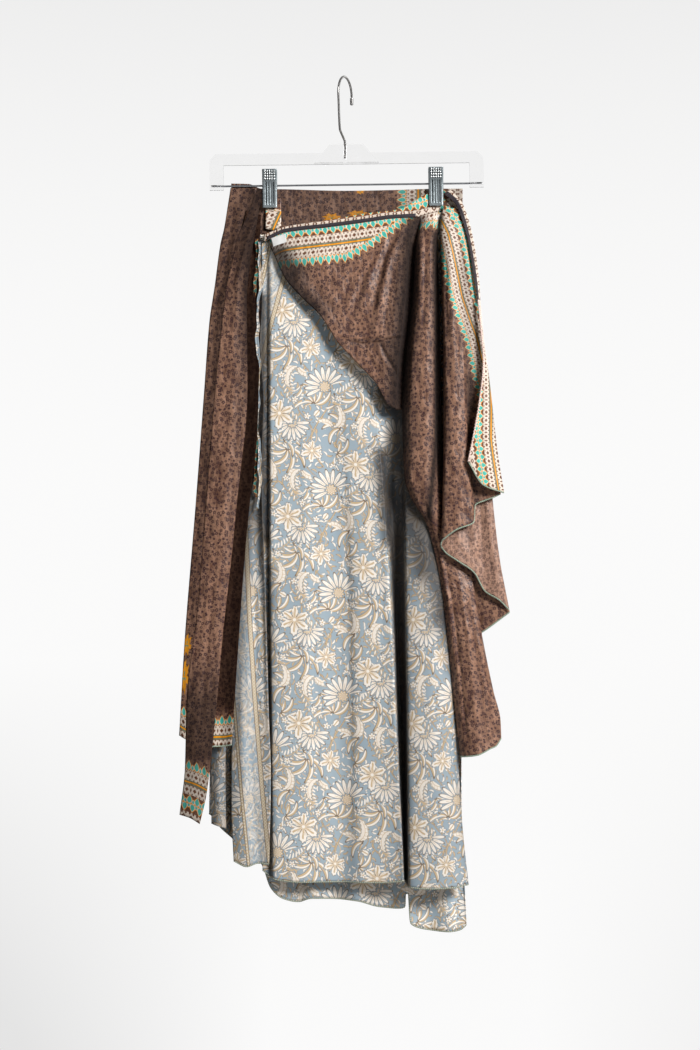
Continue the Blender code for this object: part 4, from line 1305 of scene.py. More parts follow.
def blue_print(name):
    """Blue cotton: the floral, its tan border of two dotted lines, and a fine plain weave."""
    made, recipe, shader = new_material(name, 0.55, Sheen_Weight=0.12, Sheen_Roughness=0.4)
    across, along = recipe.uv("cloth")
    colour = floral(recipe, across, along)
    edge_along, edge_up = recipe.uv("border")
    scroll = recipe.noise(recipe.vector(edge_along / 9, edge_up / 7), 1.0, 1.0)
    paler = recipe.mix(srgb(160, 176, 188), srgb(222, 212, 198), (abs(scroll - 0.5) < 0.06))
    colour = recipe.mix(colour, paler, band(edge_up, 1 - BLUE_BORDER, 0) * 0.55)
    for middle, half in ((0, 3.1), (-BLUE_BORDER, 2.2)):
        off = abs(edge_up - middle)
        dots = ((edge_along * 1.5).do("SINE") * (edge_up * 1.5 + 1.57).do("SINE")) > 0.2
        stripe = recipe.mix(srgb(198, 178, 146), srgb(226, 214, 194), dots)
        colour = recipe.mix(colour, LINE, off < half)
        colour = recipe.mix(colour, stripe, off < half - 0.9)
    feed(shader.inputs["Base Color"], in_shade(recipe, colour))
    threads = (across * 11).do("SINE") * (along * 11).do("SINE")
    slub = recipe.noise(recipe.vector(across / 0.9, along / 7), 1.0, 2.0)
    feed(shader.inputs["Roughness"], 0.5 + slub * 0.2)
    feed(shader.inputs["Normal"], recipe.bump(threads * 0.3 + slub, 0.2, 0.0003))
    return made


print("sprays of leaves in each repeat:", len(LEAF_SPRAYS))

# %% Thread, ribbon, label and hanger finishes
DOTS_ACROSS = 3.05           # from one raised dot of a clip to the next, mm
DOTS_DOWN = 3.4
CLIP_GROOVES = 3.5


def thread(name, light, dark):
    made, recipe, shader = new_material(name, 0.6, Sheen_Weight=0.3)
    around, along = recipe.uv("cloth")
    slant = (along * (2 * math.pi / STITCH) + around * 1.1).do("SINE") * 0.5 + 0.5
    feed(shader.inputs["Base Color"], recipe.mix(dark, light, slant))
    return made


def ribbon(name):
    made, recipe, shader = new_material(name, 0.55, Sheen_Weight=0.1)
    across, along = recipe.uv("cloth")
    ribs = (along * (2 * math.pi / 0.55) + across * 3).do("SINE") * 0.5 + 0.5
    feed(shader.inputs["Base Color"], recipe.mix(srgb(26, 18, 24), srgb(56, 44, 52), ribs * 0.7))
    feed(shader.inputs["Normal"], recipe.bump(ribs, 0.3, 0.0002))
    return made


def label_weave(name):
    made, recipe, shader = new_material(name, 0.5, Sheen_Weight=0.2)
    across, along = recipe.uv("cloth")
    ribs = (along * (2 * math.pi / 0.5)).do("SINE") * (across * (2 * math.pi / 0.7)).do("SINE")
    cloudy = recipe.noise(recipe.vector(across / 9, along / 9), 1.0)
    feed(shader.inputs["Base Color"], recipe.mix(srgb(198, 197, 194), srgb(224, 224, 221), cloudy))
    feed(shader.inputs["Normal"], recipe.bump(ribs * 0.5 + 0.5, 0.3, 0.0001))
    return made


def steel(name, dark, light, roughness, grain, pressed=False):
    made, recipe, shader = new_material(name, roughness, Metallic=0.6)
    place = recipe.node("TexCoord").out("Object")
    scratches = recipe.noise(place, grain, 3.0, 0.6)
    colour = recipe.mix(dark, light, scratches)
    if pressed:
        # painted highlight on the tops of the raised dots, and painted shade between them and in the grooves
        across, down = recipe.uv("cloth")
        dots = ((across * (2 * math.pi / DOTS_ACROSS)).do("COSINE")
                + ((down - 3) * (2 * math.pi / DOTS_DOWN)).do("COSINE"))
        dotted = (abs(across) < 7.6) * (down > 1.4) * (down < 14.9)
        grooves = (across * (2 * math.pi / CLIP_GROOVES)).do("COSINE") < -0.45
        grooved = (abs(across) < 7.2) * (down > 16) * (down < 47)
        colour = recipe.mix(colour, srgb(58, 64, 68), dotted * (dots < 0.1))
        colour = recipe.mix(colour, srgb(240, 242, 241), dotted * (dots > 0.75))
        colour = recipe.mix(colour, srgb(34, 40, 44), grooves * grooved)
    feed(shader.inputs["Base Color"], colour)
    feed(shader.inputs["Roughness"], roughness - 0.08 + scratches * 0.18)
    feed(shader.inputs["Normal"], recipe.bump(scratches, 0.08, 0.0004))
    return made


def clear_plastic(name):
    made, recipe, shader = new_material(name, 0.06, Transmission_Weight=1.0, IOR=1.46)
    place = recipe.node("TexCoord").out("Object")
    moulding = recipe.noise(place, 45, 2.0)
    feed(shader.inputs["Base Color"], recipe.mix(srgb(250, 250, 250), srgb(255, 255, 255), moulding))
    feed(shader.inputs["Roughness"], 0.03 + moulding * 0.05)
    feed(shader.inputs["Normal"], recipe.bump(moulding, 0.05, 0.0008))
    return made


BROWN = satin("brown_satin")
BROWN_SWEEP = satin("brown_satin_mitred", mitre=True)
BROWN_TIE = satin("brown_satin_blossoms", gloss=0.2,
                  spots=((-10.5, 597, 6.5, 15), (-10.5, 639, 6.5, 24)))
BROWN_SOFT = satin("brown_satin_soft", gloss=0.2)
BROWN_REVERSE = satin("brown_satin_reverse", paler=0.28)
# a copy of the satin without gloss, for the left side, which lies almost all in painted shade
BROWN_IN_SHADE = satin("brown_satin_in_shade", gloss=0.0)
BLUE = blue_print("blue_floral")
OVERLOCK_GREEN = thread("overlock_sage", srgb(168, 184, 164), srgb(104, 120, 100))
OVERLOCK_DEEP = thread("overlock_green", srgb(196, 190, 176), srgb(64, 104, 74))
OVERLOCK_CREAM = thread("overlock_cream", srgb(244, 226, 218), srgb(196, 156, 138))
RIBBON = ribbon("dark_ribbon")
LABEL_WEAVE = label_weave("label_weave")
CLIP_STEEL = steel("clip_steel", srgb(124, 134, 138), srgb(176, 184, 186), 0.36, 260)
PRESSED_STEEL = steel("clip_steel_pressed", srgb(118, 128, 132), srgb(168, 176, 178), 0.36, 260, pressed=True)
WIRE_STEEL = steel("wire_steel", srgb(110, 108, 106), srgb(150, 148, 146), 0.28, 320)
ROD_STEEL = steel("rod_steel", srgb(104, 106, 110), srgb(150, 152, 156), 0.34, 300)
CLEAR = clear_plastic("clear_plastic_moulding")
print("finishes:", len([m for m in bpy.data.materials if m.use_nodes]))

# %% [markdown]
# ## The hanger
#
# The clear bar keeps its CAD shape and only gets a better finish. The wire parts are thin enough to
# draw as tubes along a path: the hook is one bent wire, and each clip has a coil spring on the rod.

# %% Hook, rod and springs
HANGER_MIDDLE = 2.0
HANGER_PIVOT = 127
HANGER_TILT = math.radians(0.7)
HOOK_TURN = math.radians(68)
ROD_DROP = 138.8
ROD_HALF = 175.8
HOOK_RADIUS = 23
HOOK_CENTRE = -21.5
SPRING_TURNS = 8
SPRING_HALF = 6.2
SPRING_RADIUS = 2.75
CLIP_CENTRES = {"left": -98.0, "right": 118.0}
HOOK_SHANK = ((0, -104.8), (0, -84), (-1.5, -81), (-16.6, -70.5), (-18.4, -67), (-21, -45),
              (-23, -21.5))


def on_hanger(places):
    """Points (across from the hanger's middle, out, drop) with the hanger's slight tilt."""
    x, out, drop = np.array(places, float).T
    up = HANGER_PIVOT - drop
    cos, sin = math.cos(HANGER_TILT), math.sin(HANGER_TILT)
    return np.column_stack((HANGER_MIDDLE + x * cos - up * sin, out,
                            HANGER_PIVOT - x * sin - up * cos))


def rounded(points, times=3):
    """The path with its corners cut off again and again, which bends it as a wire bends."""
    points = np.asarray(points, float)
    for _ in range(times):
        start, end = points[:-1], points[1:]
        cut = np.stack((0.75 * start + 0.25 * end, 0.25 * start + 0.75 * end), 1)
        points = np.vstack((points[:1], cut.reshape(-1, points.shape[1])[1:-1], points[-1:]))
    return points


arc = [(HOOK_RADIUS * math.cos(angle), HOOK_CENTRE + HOOK_RADIUS * math.sin(angle))
       for angle in np.linspace(math.radians(182), math.radians(-1), 40)]
hook_route = np.array(rounded(HOOK_SHANK).tolist()[:-1] + arc)
hook_points = np.column_stack((hook_route[:, 0] * math.cos(HOOK_TURN),
                               -hook_route[:, 0] * math.sin(HOOK_TURN), -hook_route[:, 1]))
hook = tube("hook_wire", hook_points, 1.5, WIRE_STEEL, step=0.9, sides=14)
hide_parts("hanger_hook")

tip_top = hook_points[-1] + (0, 0, 0.4)
sleeve_line = [tip_top + (0, 0, drop) for drop in (0, 0.6, 2.5, 5, 7.5, 9.2, 9.8)]
sleeve = tube("hook_tip_sleeve", sleeve_line, 2.25, WIRE_STEEL, step=0.7, sides=14, swell=0.03)
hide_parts("hanger_hook_tip")

rod_line = on_hanger([(-ROD_HALF, 0, ROD_DROP), (ROD_HALF, 0, ROD_DROP)])
rod = tube("hanger_rod_wire", rod_line, 1.2, ROD_STEEL, step=3, sides=14)
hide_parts("hanger_rod")

for name, across in CLIP_CENTRES.items():
    turns = np.linspace(0, SPRING_TURNS * 2 * math.pi, SPRING_TURNS * 14)
    coil = np.column_stack((across - HANGER_MIDDLE + np.linspace(-SPRING_HALF, SPRING_HALF, len(turns)),
                            SPRING_RADIUS * np.cos(turns), ROD_DROP + SPRING_RADIUS * np.sin(turns)))
    spring = tube(f"clip_{name}_spring", on_hanger(coil), 0.68, CLIP_STEEL, step=0.9, sides=8)
    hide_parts(f"clip_{name}_pivot")

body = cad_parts["hanger_body"]
body.material_slots[0].material = CLEAR
print("hook wire", round(even_path(hook_points, 1)[1][-1]), "mm long")

# %% [markdown]
# ## The clips
#
# Each clip is two plates of pressed steel. The front plate has a raised grid of dots to press with and
# four grooves below it, so its relief is real geometry: a fine grid of points over the plate, moved in
# and out. The sides are bent back a little, which stiffens the real plate and catches the light.

# %% Pressed clip plates
CLIP_PLATE = ((8.6, -21), (5.6, -4), (5.0, 3), (4.9, 27), (6.2, 29))   # out, drop below the rod
CLIP_HALF = 9.3


def clip_relief(x, drop):
    """How far the pressed face stands out at places on the plate, mm."""
    middles = [CLIP_GROOVES * share for share in (-1.5, -0.5, 0.5, 1.5)]
    grooves = sum(np.exp(-((x - middle) / 0.62) ** 4) for middle in middles)
    grooved = np.clip((drop + 5.6) / 1.2, 0, 1) * np.clip((25.5 - drop) / 1.2, 0, 1)
    dots = np.cos(x * 2 * math.pi / DOTS_ACROSS) + np.cos((drop + 18.6) * 2 * math.pi / DOTS_DOWN)
    dotted = (np.abs(x) < 7.6) * (drop > -20.2) * (drop < -6.9)
    flange = np.clip(np.abs(x) - 7.6, 0, None) ** 2
    return -0.75 * grooves * grooved + 0.42 * np.clip(dots - 0.7, 0, 1) * dotted - 0.45 * flange


def clip_plate(name, across, side, columns, rows):
    out, drop = np.array(CLIP_PLATE, float).T
    line = rounded(np.column_stack((out, drop)), 2)
    run = np.concatenate(([0], np.cumsum(np.linalg.norm(np.diff(line, axis=0), axis=1))))
    at = np.linspace(0, run[-1], rows)
    outs, drops = np.interp(at, run, line[:, 0]), np.interp(at, run, line[:, 1])
    x = np.linspace(-CLIP_HALF, CLIP_HALF, columns)
    xs, ds = np.meshgrid(x, drops)
    relief = clip_relief(xs, ds)
    places = np.stack((xs + across - HANGER_MIDDLE, side * (outs[:, None] + relief), ds + ROD_DROP), -1)
    grid = on_hanger(places.reshape(-1, 3)).reshape(rows, columns, 3)
    return shell(name, grid, 0.9, PRESSED_STEEL)


for name, across in CLIP_CENTRES.items():
    for face, side, columns, rows in (("front", 1, 62, 110), ("back", -1, 40, 60)):
        plate = clip_plate(f"clip_{name}_{face}_plate", across, side, columns, rows)
        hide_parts(f"clip_{name}_{face}")

# %% [markdown]
# ## The waistband
#
# The band is one strip folded double over the tops of both layers. It is drawn as it is made: a grid
# that goes up the front, turns over the top and comes down behind. Its lower edge carries a dark
# ribbon, and its two ends and the ties carry the border print.

# %% Waistband
CLOTH_WALL = 0.8             # one thickness of the skirt's cloth, mm
BAND_WALL = 0.7
TIE_WALL = 1.3               # a tie is sewn double
BAND_THICK = 1.7             # the band is folded double
END_BORDER = 67.6            # across, where the printed border crosses the back band


def folded_band(places, top, foot, out, steps):
    """A strip folded double along its top edge, as a grid from front foot over the top to back foot."""
    thick = BAND_THICK
    rows = []
    for share in np.linspace(0, 1, steps):
        rows.append((out + thick / 2, foot + (top + thick / 2 - foot) * share))
    for angle in np.linspace(0, math.pi, 7)[1:-1]:
        rows.append((out + thick / 2 * np.cos(angle), top + thick / 2 - thick / 2 * np.sin(angle)))
    for share in np.linspace(1, 0, max(3, steps // 2)):
        rows.append((out - thick / 2, foot + (top + thick / 2 - foot) * share))
    return np.stack([np.column_stack((places, depth, drop)) for depth, drop in rows])


def front_band_at(across):
    """Top edge, lower edge and out of the front waistband at places across."""
    table = np.array(FRONT_BAND, float)
    return smooth(table[:, 0], table[:, 1:], across).T


def finish_piece(piece, grid, node, held):
    """The cloth stands for its CAD node, which is hidden, and what it was cut to is noted."""
    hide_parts(node)
    declare(piece, grid, held)


top_edge = np.array(BACK_BAND_TOP, float)
places = np.linspace(top_edge[0, 0], top_edge[-1, 0], 120)
upper = smooth(top_edge[:, 0], top_edge[:, 1], places)
lower = np.full_like(places, WAIST_SEAM_DROP)
grid = folded_band(places, upper, lower, np.full_like(places, WAIST_BACK_OUT), 24)
BROWN_BAND = satin("brown_satin_band", spots=((16, 56, 6, 4), (-21, 22, 13, 6), (13, 27, 14, 4.5)))
waist = shell("waistband_back_cloth", grid, BAND_WALL, BROWN_BAND,
              beside(((100, END_BORDER), (260, END_BORDER)), BORDER_WIDTH, -1, -1), shade=even_shade(0.5))
finish_piece(waist, grid, "waistband_back", "folded")

places = np.linspace(FRONT_BAND[0][0], FRONT_BAND[-1][0], 110)
top, foot, out = front_band_at(places)


def front_band_border(grid, across, down):
    """The selvedge band lies next to the ribbon, and a row of leaves comes above it."""
    return across, np.where(down < 8, 13 - down, 15 + (down - 8) * 1.1)


grid = folded_band(places, top, foot, out, 12)
front_band = shell("waistband_front_cloth", grid, BAND_WALL, BROWN, front_band_border)
print("the front band droops from", round(float(top.min())), "to", round(float(foot.max())), "mm")

# %% Ribbon and label on the front band
def trim(piece, node):
    """Sewn-on trim: it stands for its CAD node, which is hidden."""
    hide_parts(node)
    return piece


places = np.linspace(RIBBON_LEFT, RIBBON_RIGHT, 100)
_, foot, out = front_band_at(places)
strip = np.stack([np.column_stack((places, out + 2.0, foot - RIBBON_DEPTH * share))
                  for share in (1, 0.8, 0.5, 0.2, 0)])
strip[1:4, :, 1] += 0.25
front_ribbon = trim(shell("waistband_ribbon", strip, 0.7, RIBBON), "binding_front")

patch = loft(LABEL, 14, 24)
patch[..., 1] += 0.35 * np.sin(np.linspace(0, 5, patch.shape[1]))[None]
label = trim(shell("sewn_label", patch, 0.5, LABEL_WEAVE), "label")
finish_piece(front_band, grid, "waistband_front", "folded")
print("the ribbon runs", RIBBON_RIGHT - RIBBON_LEFT, "mm across")

# %% The band's two ends
grid = turned_under(loft(BAND_FALL, 70, 6), "right", 0.5, 6)
band_fall = shell("waistband_fall_cloth", grid, 0.6, BROWN,
                  lambda grid, across, down: (down, 13 - across))
sewn_edge = loft(BAND_FALL, 70, 6)[:, :8]
strip = lifted(sewn_edge, np.full(sewn_edge.shape[:2], 1.4))
fall_ribbon = trim(shell("waistband_fall_ribbon", strip, 0.7, RIBBON), "binding_fall")
finish_piece(band_fall, grid, "waistband_fall", "folded")

grid = loft(TAB, 16, 8)
tab_stripe = beside(((150, -73), (176, -84.5), (194, -92.4), (215, -101)), 51, 1, 1)


def tab_border(grid, across, down):
    """The border shows below the clip; above it the tab is plain brown."""
    along, up = tab_stripe(grid, across, down)
    return along, up + 60 * np.clip((172 - grid[..., 2]) / 2, 0, 1)


tab = shell("waistband_tab_cloth", grid, 0.9, BROWN, tab_border)
finish_piece(tab, grid, "waistband_tab", "hung")
print("waistband pieces:", waist.name, front_band.name, band_fall.name, tab.name)

# %% [markdown]
# ## The ties
#
# Each tie is a strip sewn double, so its edges are soft folds, and its end shows the printed border.
# They are pinched at the clip and hang free, with long shallow folds that start at the pinch.

# %% Ties
# Rows of a crease table: depth (below 0 for a furrow), width, line of (across, drop) points.
TIE_FRONT_CREASES = (
    (1.6, 3.5, ((-106, 160), (-124, 205), (-138, 260), (-141, 330))),
    (-1.8, 3.0, ((-108, 165), (-118, 205), (-131, 262), (-134, 320))),
    (1.2, 2.5, ((-127, 240), (-133, 300), (-132, 345))),
    (-1.0, 5.0, ((-150, 330), (-153, 420), (-156, 500))),
    (0.9, 4.0, ((-140, 380), (-150, 480), (-160, 640), (-170, 760))),
    (-1.1, 3.2, ((-165, 600), (-176, 720), (-188, 860))),
    (0.8, 3.0, ((-150, 560), (-160, 700), (-172, 850), (-180, 930))),
    (-0.8, 1.2, ((-160, 470), (-140, 472), (-128, 468))),
)
TIE_BACK_CREASES = (
    (1.4, 5.0, ((-135, 160), (-143, 215), (-150, 260), (-158, 330))),
    (-1.2, 4.0, ((-146, 170), (-152, 230), (-168, 300), (-176, 420))),
    (0.9, 5.0, ((-170, 400), (-182, 560), (-196, 740))),
    (-0.9, 3.5, ((-160, 420), (-175, 600), (-190, 780))),
)
# Rows of a shade table: drop, then the shade from the left edge to the right one.
TIE_BACK_SHADE = (
    (145, 0.35, 0.5, 0.93), (190, 0.4, 0.68, 0.97), (240, 0.4, 0.78, 0.97), (320, 0.35, 0.78, 0.96),
    (460, 0.3, 0.74, 0.95), (640, 0.15, 0.4, 0.93), (860, 0.1, 0.2, 0.6),
)
TIE_FRONT_SHADE = (
    (145, 0.96, 0.93, 0.95), (190, 0.88, 0.85, 0.96), (225, 0.6, 0.88, 0.97), (265, 0.15, 0.6, 0.97),
    (330, 0, 0.1, 0.93), (400, 0, 0, 0.6), (520, 0.1, 0, 0.3), (731, 0, 0, 0.1),
    (783, 0.5, 0.5, 0.55), (812, 0.76, 0.76, 0.78), (874, 0.82, 0.82, 0.84), (893, 0.6, 0.55, 0.6),
    (970, 0.5, 0.48, 0.5),
)
grid = draped(TIE_BACK, 260, 9, TIE_BACK_CREASES, 0.7, 0.4)
tie_back = shell("tie_back_cloth", grid, TIE_WALL, BROWN_TIE, above_hem(39), shade=shaded(*TIE_BACK_SHADE))
finish_piece(tie_back, grid, "tie_back", "hung")
grid = draped(TIE_FRONT, 300, 9, TIE_FRONT_CREASES, 0.6, 1.3)
tie_front = shell("tie_front_cloth", grid, TIE_WALL, BROWN_SOFT, above_hem(7),
                  shade=shaded(*TIE_FRONT_SHADE))
tie_front.visible_shadow = False       # the far tie's shade is painted on it instead
finish_piece(tie_front, grid, "tie_front", "hung")
print("ties:", tie_back.name, tie_front.name)

# %% [markdown]
# ## The brown layer
#
# It hangs from the drooping front band, is swept to the right, and falls there in two deep pleats, a
# tube and a zig-zag of turned edges. Each stretch that shows is its own shell, so each can be shaped
# and creased alone; their edges meet behind a fold, as they do where the real cloth turns away.

# %% One stretch of a layer
def hung_from_band(folds, out_change=0.0):
    """The same folds, each starting just under the front waistband where it lies near."""
    hung = []
    for first, *rest in folds:
        foot = front_band_at(np.array([float(first[1])]))[1, 0]
        top = foot + GAP if first[0] - foot < 6 else first[0]
        hung.append(((top, first[1], first[2] + out_change), *rest))
    return hung


# Of each layer: its cloth, the thread of its hem, the hem's radius and how far its stitches swell.
LAYERS = {
    "outer": ("satin", OVERLOCK_GREEN, 0.95, 0.22),
    "under": ("cotton", OVERLOCK_DEEP, 0.9, 0.25),
}


def stretch(part, grid, finish, held, rests_on, hem_below, border=no_border, trims=(), free_edge=None,
            **looks):
    """One stretch of a layer: its cloth, the overlocked hem at its foot, and what they stand for."""
    layer = part.split("_")[0]
    cloth, yarn, radius, swell = LAYERS[layer]
    piece = shell(f"{part}_{cloth}", grid, CLOTH_WALL, finish, border, **looks)
    hem = tube(f"{part}_hem", grid[-1] + (0, 0, hem_below), radius, yarn, swell=swell)
    if free_edge is not None:
        trims = [tube(f"{part}_edge", free_edge, 1.25, OVERLOCK_CREAM, swell=0.5, pitch=4.4)]
    finish_piece(piece, grid, part, held)
    return piece


print("a layer's cloth, by layer:", {layer: row[0] for layer, row in LAYERS.items()})

# %% Brown layer, left side and sweep
MITRE_LINE = ((-130, 256), (-58, 247), (3.9, 240.5), (32.5, 225), (64, 203.5), (95, 181), (125, 160))


def mitre_corner(grid, across, down):
    """Where the end border crosses the top border: its inner edge runs up to the right clip."""
    nearest, along, side, _ = along_line(grid, MITRE_LINE)
    return along, BORDER_WIDTH + side * nearest


SWEEP_CREASES = (
    (3.2, 5.0, ((78, 192), (58, 236), (46, 290), (38, 335))),
    (-3.2, 5.0, ((66, 200), (48, 246), (34, 310))),
    (2.2, 4.5, ((60, 200), (36, 246), (22, 300))),
    (-2.0, 4.0, ((50, 214), (24, 262), (6, 318))),
    (-1.3, 6.0, ((30, 226), (6, 268), (-12, 306))),
    (1.5, 3.2, ((72, 232), (66, 300), (60, 350))),
    (-1.2, 3.0, ((64, 240), (54, 300), (50, 340))),
    (-2.4, 1.7, ((-10, 340), (20, 345), (46, 342.5), (76, 338.5))),
    (2.4, 1.9, ((-10, 336.5), (20, 341), (46, 339), (76, 335))),
    (-1.8, 1.8, ((45, 346), (53, 362), (62, 378), (71, 392))),
    (0.9, 2.2, ((41, 350), (49, 366), (58, 382))),
    (-0.7, 4.0, ((20, 350), (32, 366), (44, 386))),
    (1.0, 6.0, ((-80, 232), (-58, 262), (-30, 298), (0, 334))),
    (-1.0, 7.0, ((-60, 240), (-36, 280), (-8, 322))),
    (0.8, 8.0, ((-40, 212), (-10, 262), (20, 312))),
)
# Rows of a table of shadows: line of (across, drop) points, reach, strength.
SWEEP_SHADOWS = (
    (((-96, 226), (-80, 256), (-60, 284), (-40, 304)), 20, 0.96),
    (((-82, 230), (-64, 252)), 15, 0.9),
    (((92, 186), (84, 210), (80, 260), (74, 320), (67, 390), (64, 440)), 17, 0.96),
    (((-4, 346), (30, 348), (70, 343)), 3, 0.35),
    (((46, 347), (54, 362), (63, 378), (71, 391)), 2.2, 0.6),
    (((58, 352), (64, 366), (70, 378)), 9, 0.4),
)
grid = draped(hung_from_band(OUTER_SWEEP, 0.2), 170, 9, SWEEP_CREASES, 0.5, 2.2)
grid = turned_under(grid, "foot", 1.6, 5)
sweep = shell("outer_sweep_satin", grid, CLOTH_WALL, BROWN_SWEEP, below_top(26, 1.08), mitre_corner,
              shade=shadows(SWEEP_SHADOWS))
finish_piece(sweep, grid, "outer_sweep", "gathered")

OUTER_LEFT_CREASES = (
    (1.5, 3.0, ((-112, 190), (-118, 300), (-124, 420))),
    (-1.5, 3.0, ((-120, 200), (-128, 320), (-140, 480))),
    (1.2, 3.5, ((-130, 420), (-146, 600), (-158, 780))),
)
grid = draped(OUTER_LEFT, 220, 7, OUTER_LEFT_CREASES, 0.7, 3.1)
stretch("outer_left", grid, BROWN_IN_SHADE, "gathered", waist, 0.6, above_hem(40), shade=shaded(
    (170, 0.9, 0.9, 0.9), (400, 0.99, 0.98, 0.99), (640, 0.98, 0.94, 0.97), (770, 0.96, 0.9, 0.95),
    (812, 0.95, 0.85, 0.93), (830, 0.6, 0.4, 0.55), (866, 0.4, 0.2, 0.4)))
print("the sweep ends at a drop of", round(float(loft(OUTER_SWEEP, 8, 1)[..., 2].max())), "mm")

# %% Brown layer, pleat and cascade
# The border's middle stripe on the fall, as (drop, across) points.
STRIPE_FALL = ((160, 112), (182, 123.5), (204, 133.9), (232.7, 140.4), (284.7, 150.8), (318.5, 162.5),
               (340.6, 171), (369.2, 178.1), (460, 198), (560, 220))
# The pleat's inner groove and the right side of its ridge, as (across, drop) points.
GROOVE_LINE = ((98, 186), (88, 210), (86, 250), (85, 290), (81, 340), (76, 390), (73, 440), (72, 480))
RIDGE_SIDE = ((116, 204), (116, 260), (117, 340), (118, 420), (117, 470), (113, 520), (108, 570))
PLEAT_CREASES = (
    (1.3, 2.6, ((99, 190), (98, 260), (97, 330))),
    (-0.8, 2.2, ((104, 200), (103, 270), (100, 340))),
    (1.1, 2.4, ((111, 200), (110, 240), (112, 300))),
    (-1.2, 2.0, ((114, 210), (113, 250), (113, 280))),
    (-1.5, 4.0, ((92, 520), (104, 560), (118, 620), (132, 700))),
    (1.4, 3.0, ((108, 560), (122, 610), (134, 680), (142, 760))),
    (-1.6, 2.6, ((128, 620), (140, 690), (150, 780), (157, 860))),
    (1.2, 3.0, ((146, 640), (158, 720), (166, 800), (172, 860))),
    (-1.2, 2.2, ((157, 660), (168, 740), (178, 810), (184, 860))),
    (0.9, 2.5, ((168, 700), (182, 790), (191, 850))),
)
grid = draped(hung_from_band(OUTER_PLEAT), 250, 14, PLEAT_CREASES, 0.5, 0.9)
stretch("outer_pleat", grid, BROWN, "gathered", front_band, 0.6, below_top(56),
        shade=shadows(((GROOVE_LINE, 10, 0.97), (RIDGE_SIDE, 5.5, 0.98))))

FALL_CREASES = (
    (-1.2, 2.2, ((131, 230), (130, 290), (133, 350))),
    (1.2, 2.6, ((136, 220), (138, 300), (142, 380))),
    (-1.2, 2.4, ((148, 300), (150, 380), (154, 470))),
    (1.0, 3.0, ((134, 400), (137, 470), (140, 540))),
)
grid = draped(OUTER_FALL, 160, 7, FALL_CREASES, 0.45, 4.2)
FALL_SHADE = shadows(
    ((((161, 395), (164, 430)), 7, 0.6),),
    shaded((166, 0.2, 0.25, 0.3), (340, 0, 0.2, 0.2), (460, 0, 0, 0.1), (607, 0, 0, 0)),
)
fall = stretch("outer_fall", grid, BROWN, "gathered", front_band, 0.5,
               beside(STRIPE_FALL, 51, -1.5, -1.35), shade=FALL_SHADE)


def flap_border(grid, across, down):
    """The stripe lies near the flap's outer side, and the selvedge is its free edge."""
    outer = np.interp(grid[..., 2], (370, 430, 470), (46, 54, 61))
    return grid[..., 2], outer - 1.35 * (grid[:, -1:, 0] - grid[..., 0])


grid = loft(OUTER_FLAP, 110, 12)
stretch("outer_flap", grid, BROWN, "hung", fall, 0.5, flap_border, free_edge=grid[:, 0] + (-0.6, 0.3, 0))

RETURN_CREASES = (
    (1.4, 4.0, ((160, 500), (164, 560), (168, 620))),
    (-1.3, 3.0, ((169, 480), (175, 560), (180, 640))),
    (1.1, 3.0, ((178, 500), (186, 580), (196, 660))),
)
grid = draped(OUTER_RETURN, 180, 7, RETURN_CREASES, 0.5, 5.5)
back_fall = stretch("outer_return", grid, BROWN_REVERSE, "gathered", front_band, 0.5)
grid = draped(OUTER_TAIL, 90, 16, (), 0.6, 6.0)
stretch("outer_tail", grid, BROWN, "hung", back_fall, 0.5)
print("brown layer:", round(sum(c[1] * c[2] for c in CUTS if "outer" in c[0]) / 1e6, 3), "m2 of satin")

# %% [markdown]
# ## The blue layer
#
# It is longer than the brown one and hangs almost straight, so it shows below and at the left. At the
# left it turns back into the dark, and one deep groove runs down it beside the pleat.

# %% Blue layer in front
# The upper tan line of its border on each stretch, as (drop, across) points.
BLUE_FRONT_LINE = ((200, -66), (254.8, -78), (326, -97.5), (420, -122), (1060, -290))
BLUE_LEFT_LINE = ((200, -140), (600, -128), (704.6, -123.5), (803, -117), (929.5, -106.6), (1020, -97.5))
FRONT_CREASES = (
    (-1.0, 3.0, ((-4, 420), (0, 560), (4, 700))),
    (0.9, 5.0, ((-50, 420), (-52, 640), (-48, 900))),
    (-0.6, 3.5, ((-40, 640), (-36, 820), (-32, 1000))),
    (-1.2, 3.5, ((2, 560), (6, 760), (8, 1020))),
    (-0.8, 2.5, ((38, 480), (46, 620), (50, 760))),
    (1.0, 4.0, ((60, 560), (62, 700), (66, 860))),
    (-2.0, 1.2, ((49, 1012), (50, 1028), (50, 1046))),
)
# The front's shade: under the sweep's point, in the grooves beside the pleat, and down its left edge.
FRONT_SHADOWS = (
    (((-72, 264), (-60, 282), (-50, 296)), 8, 0.4),
    (((48, 410), (58, 426), (70, 434)), 11, 0.97),
    (((47, 490), (52, 549), (59, 600)), 12, 0.95),
    (((72, 440), (76, 500), (84, 545), (102, 578), (112, 610), (122, 665), (128, 700)), 20, 0.93),
    (((80, 560), (90, 600), (100, 640)), 18, 0.8),
    (((128, 700), (133, 715), (142, 765)), 11, 0.85),
    (((76, 560), (76, 700), (76, 1040)), 12, 0.45),
    (((-107, 285), (-107, 500), (-104, 600)), 7, 0.93),
    (((-96, 640), (-96, 1040)), 7, 0.55),
)
grid = draped(hung_from_band(UNDER_FRONT, -0.5), 270, 7, FRONT_CREASES, 0.6, 1.7)
stretch("under_front", grid, BLUE, "gathered", front_band, 0.4, beside(BLUE_FRONT_LINE, 0, 1, 1),
        shade=shadows(FRONT_SHADOWS, shaded((600, 0, 0, 0, 0, 0.18, 0.2), (1050, 0, 0, 0, 0, 0.18, 0.2))))
print("shadows on the blue front:", len(FRONT_SHADOWS))

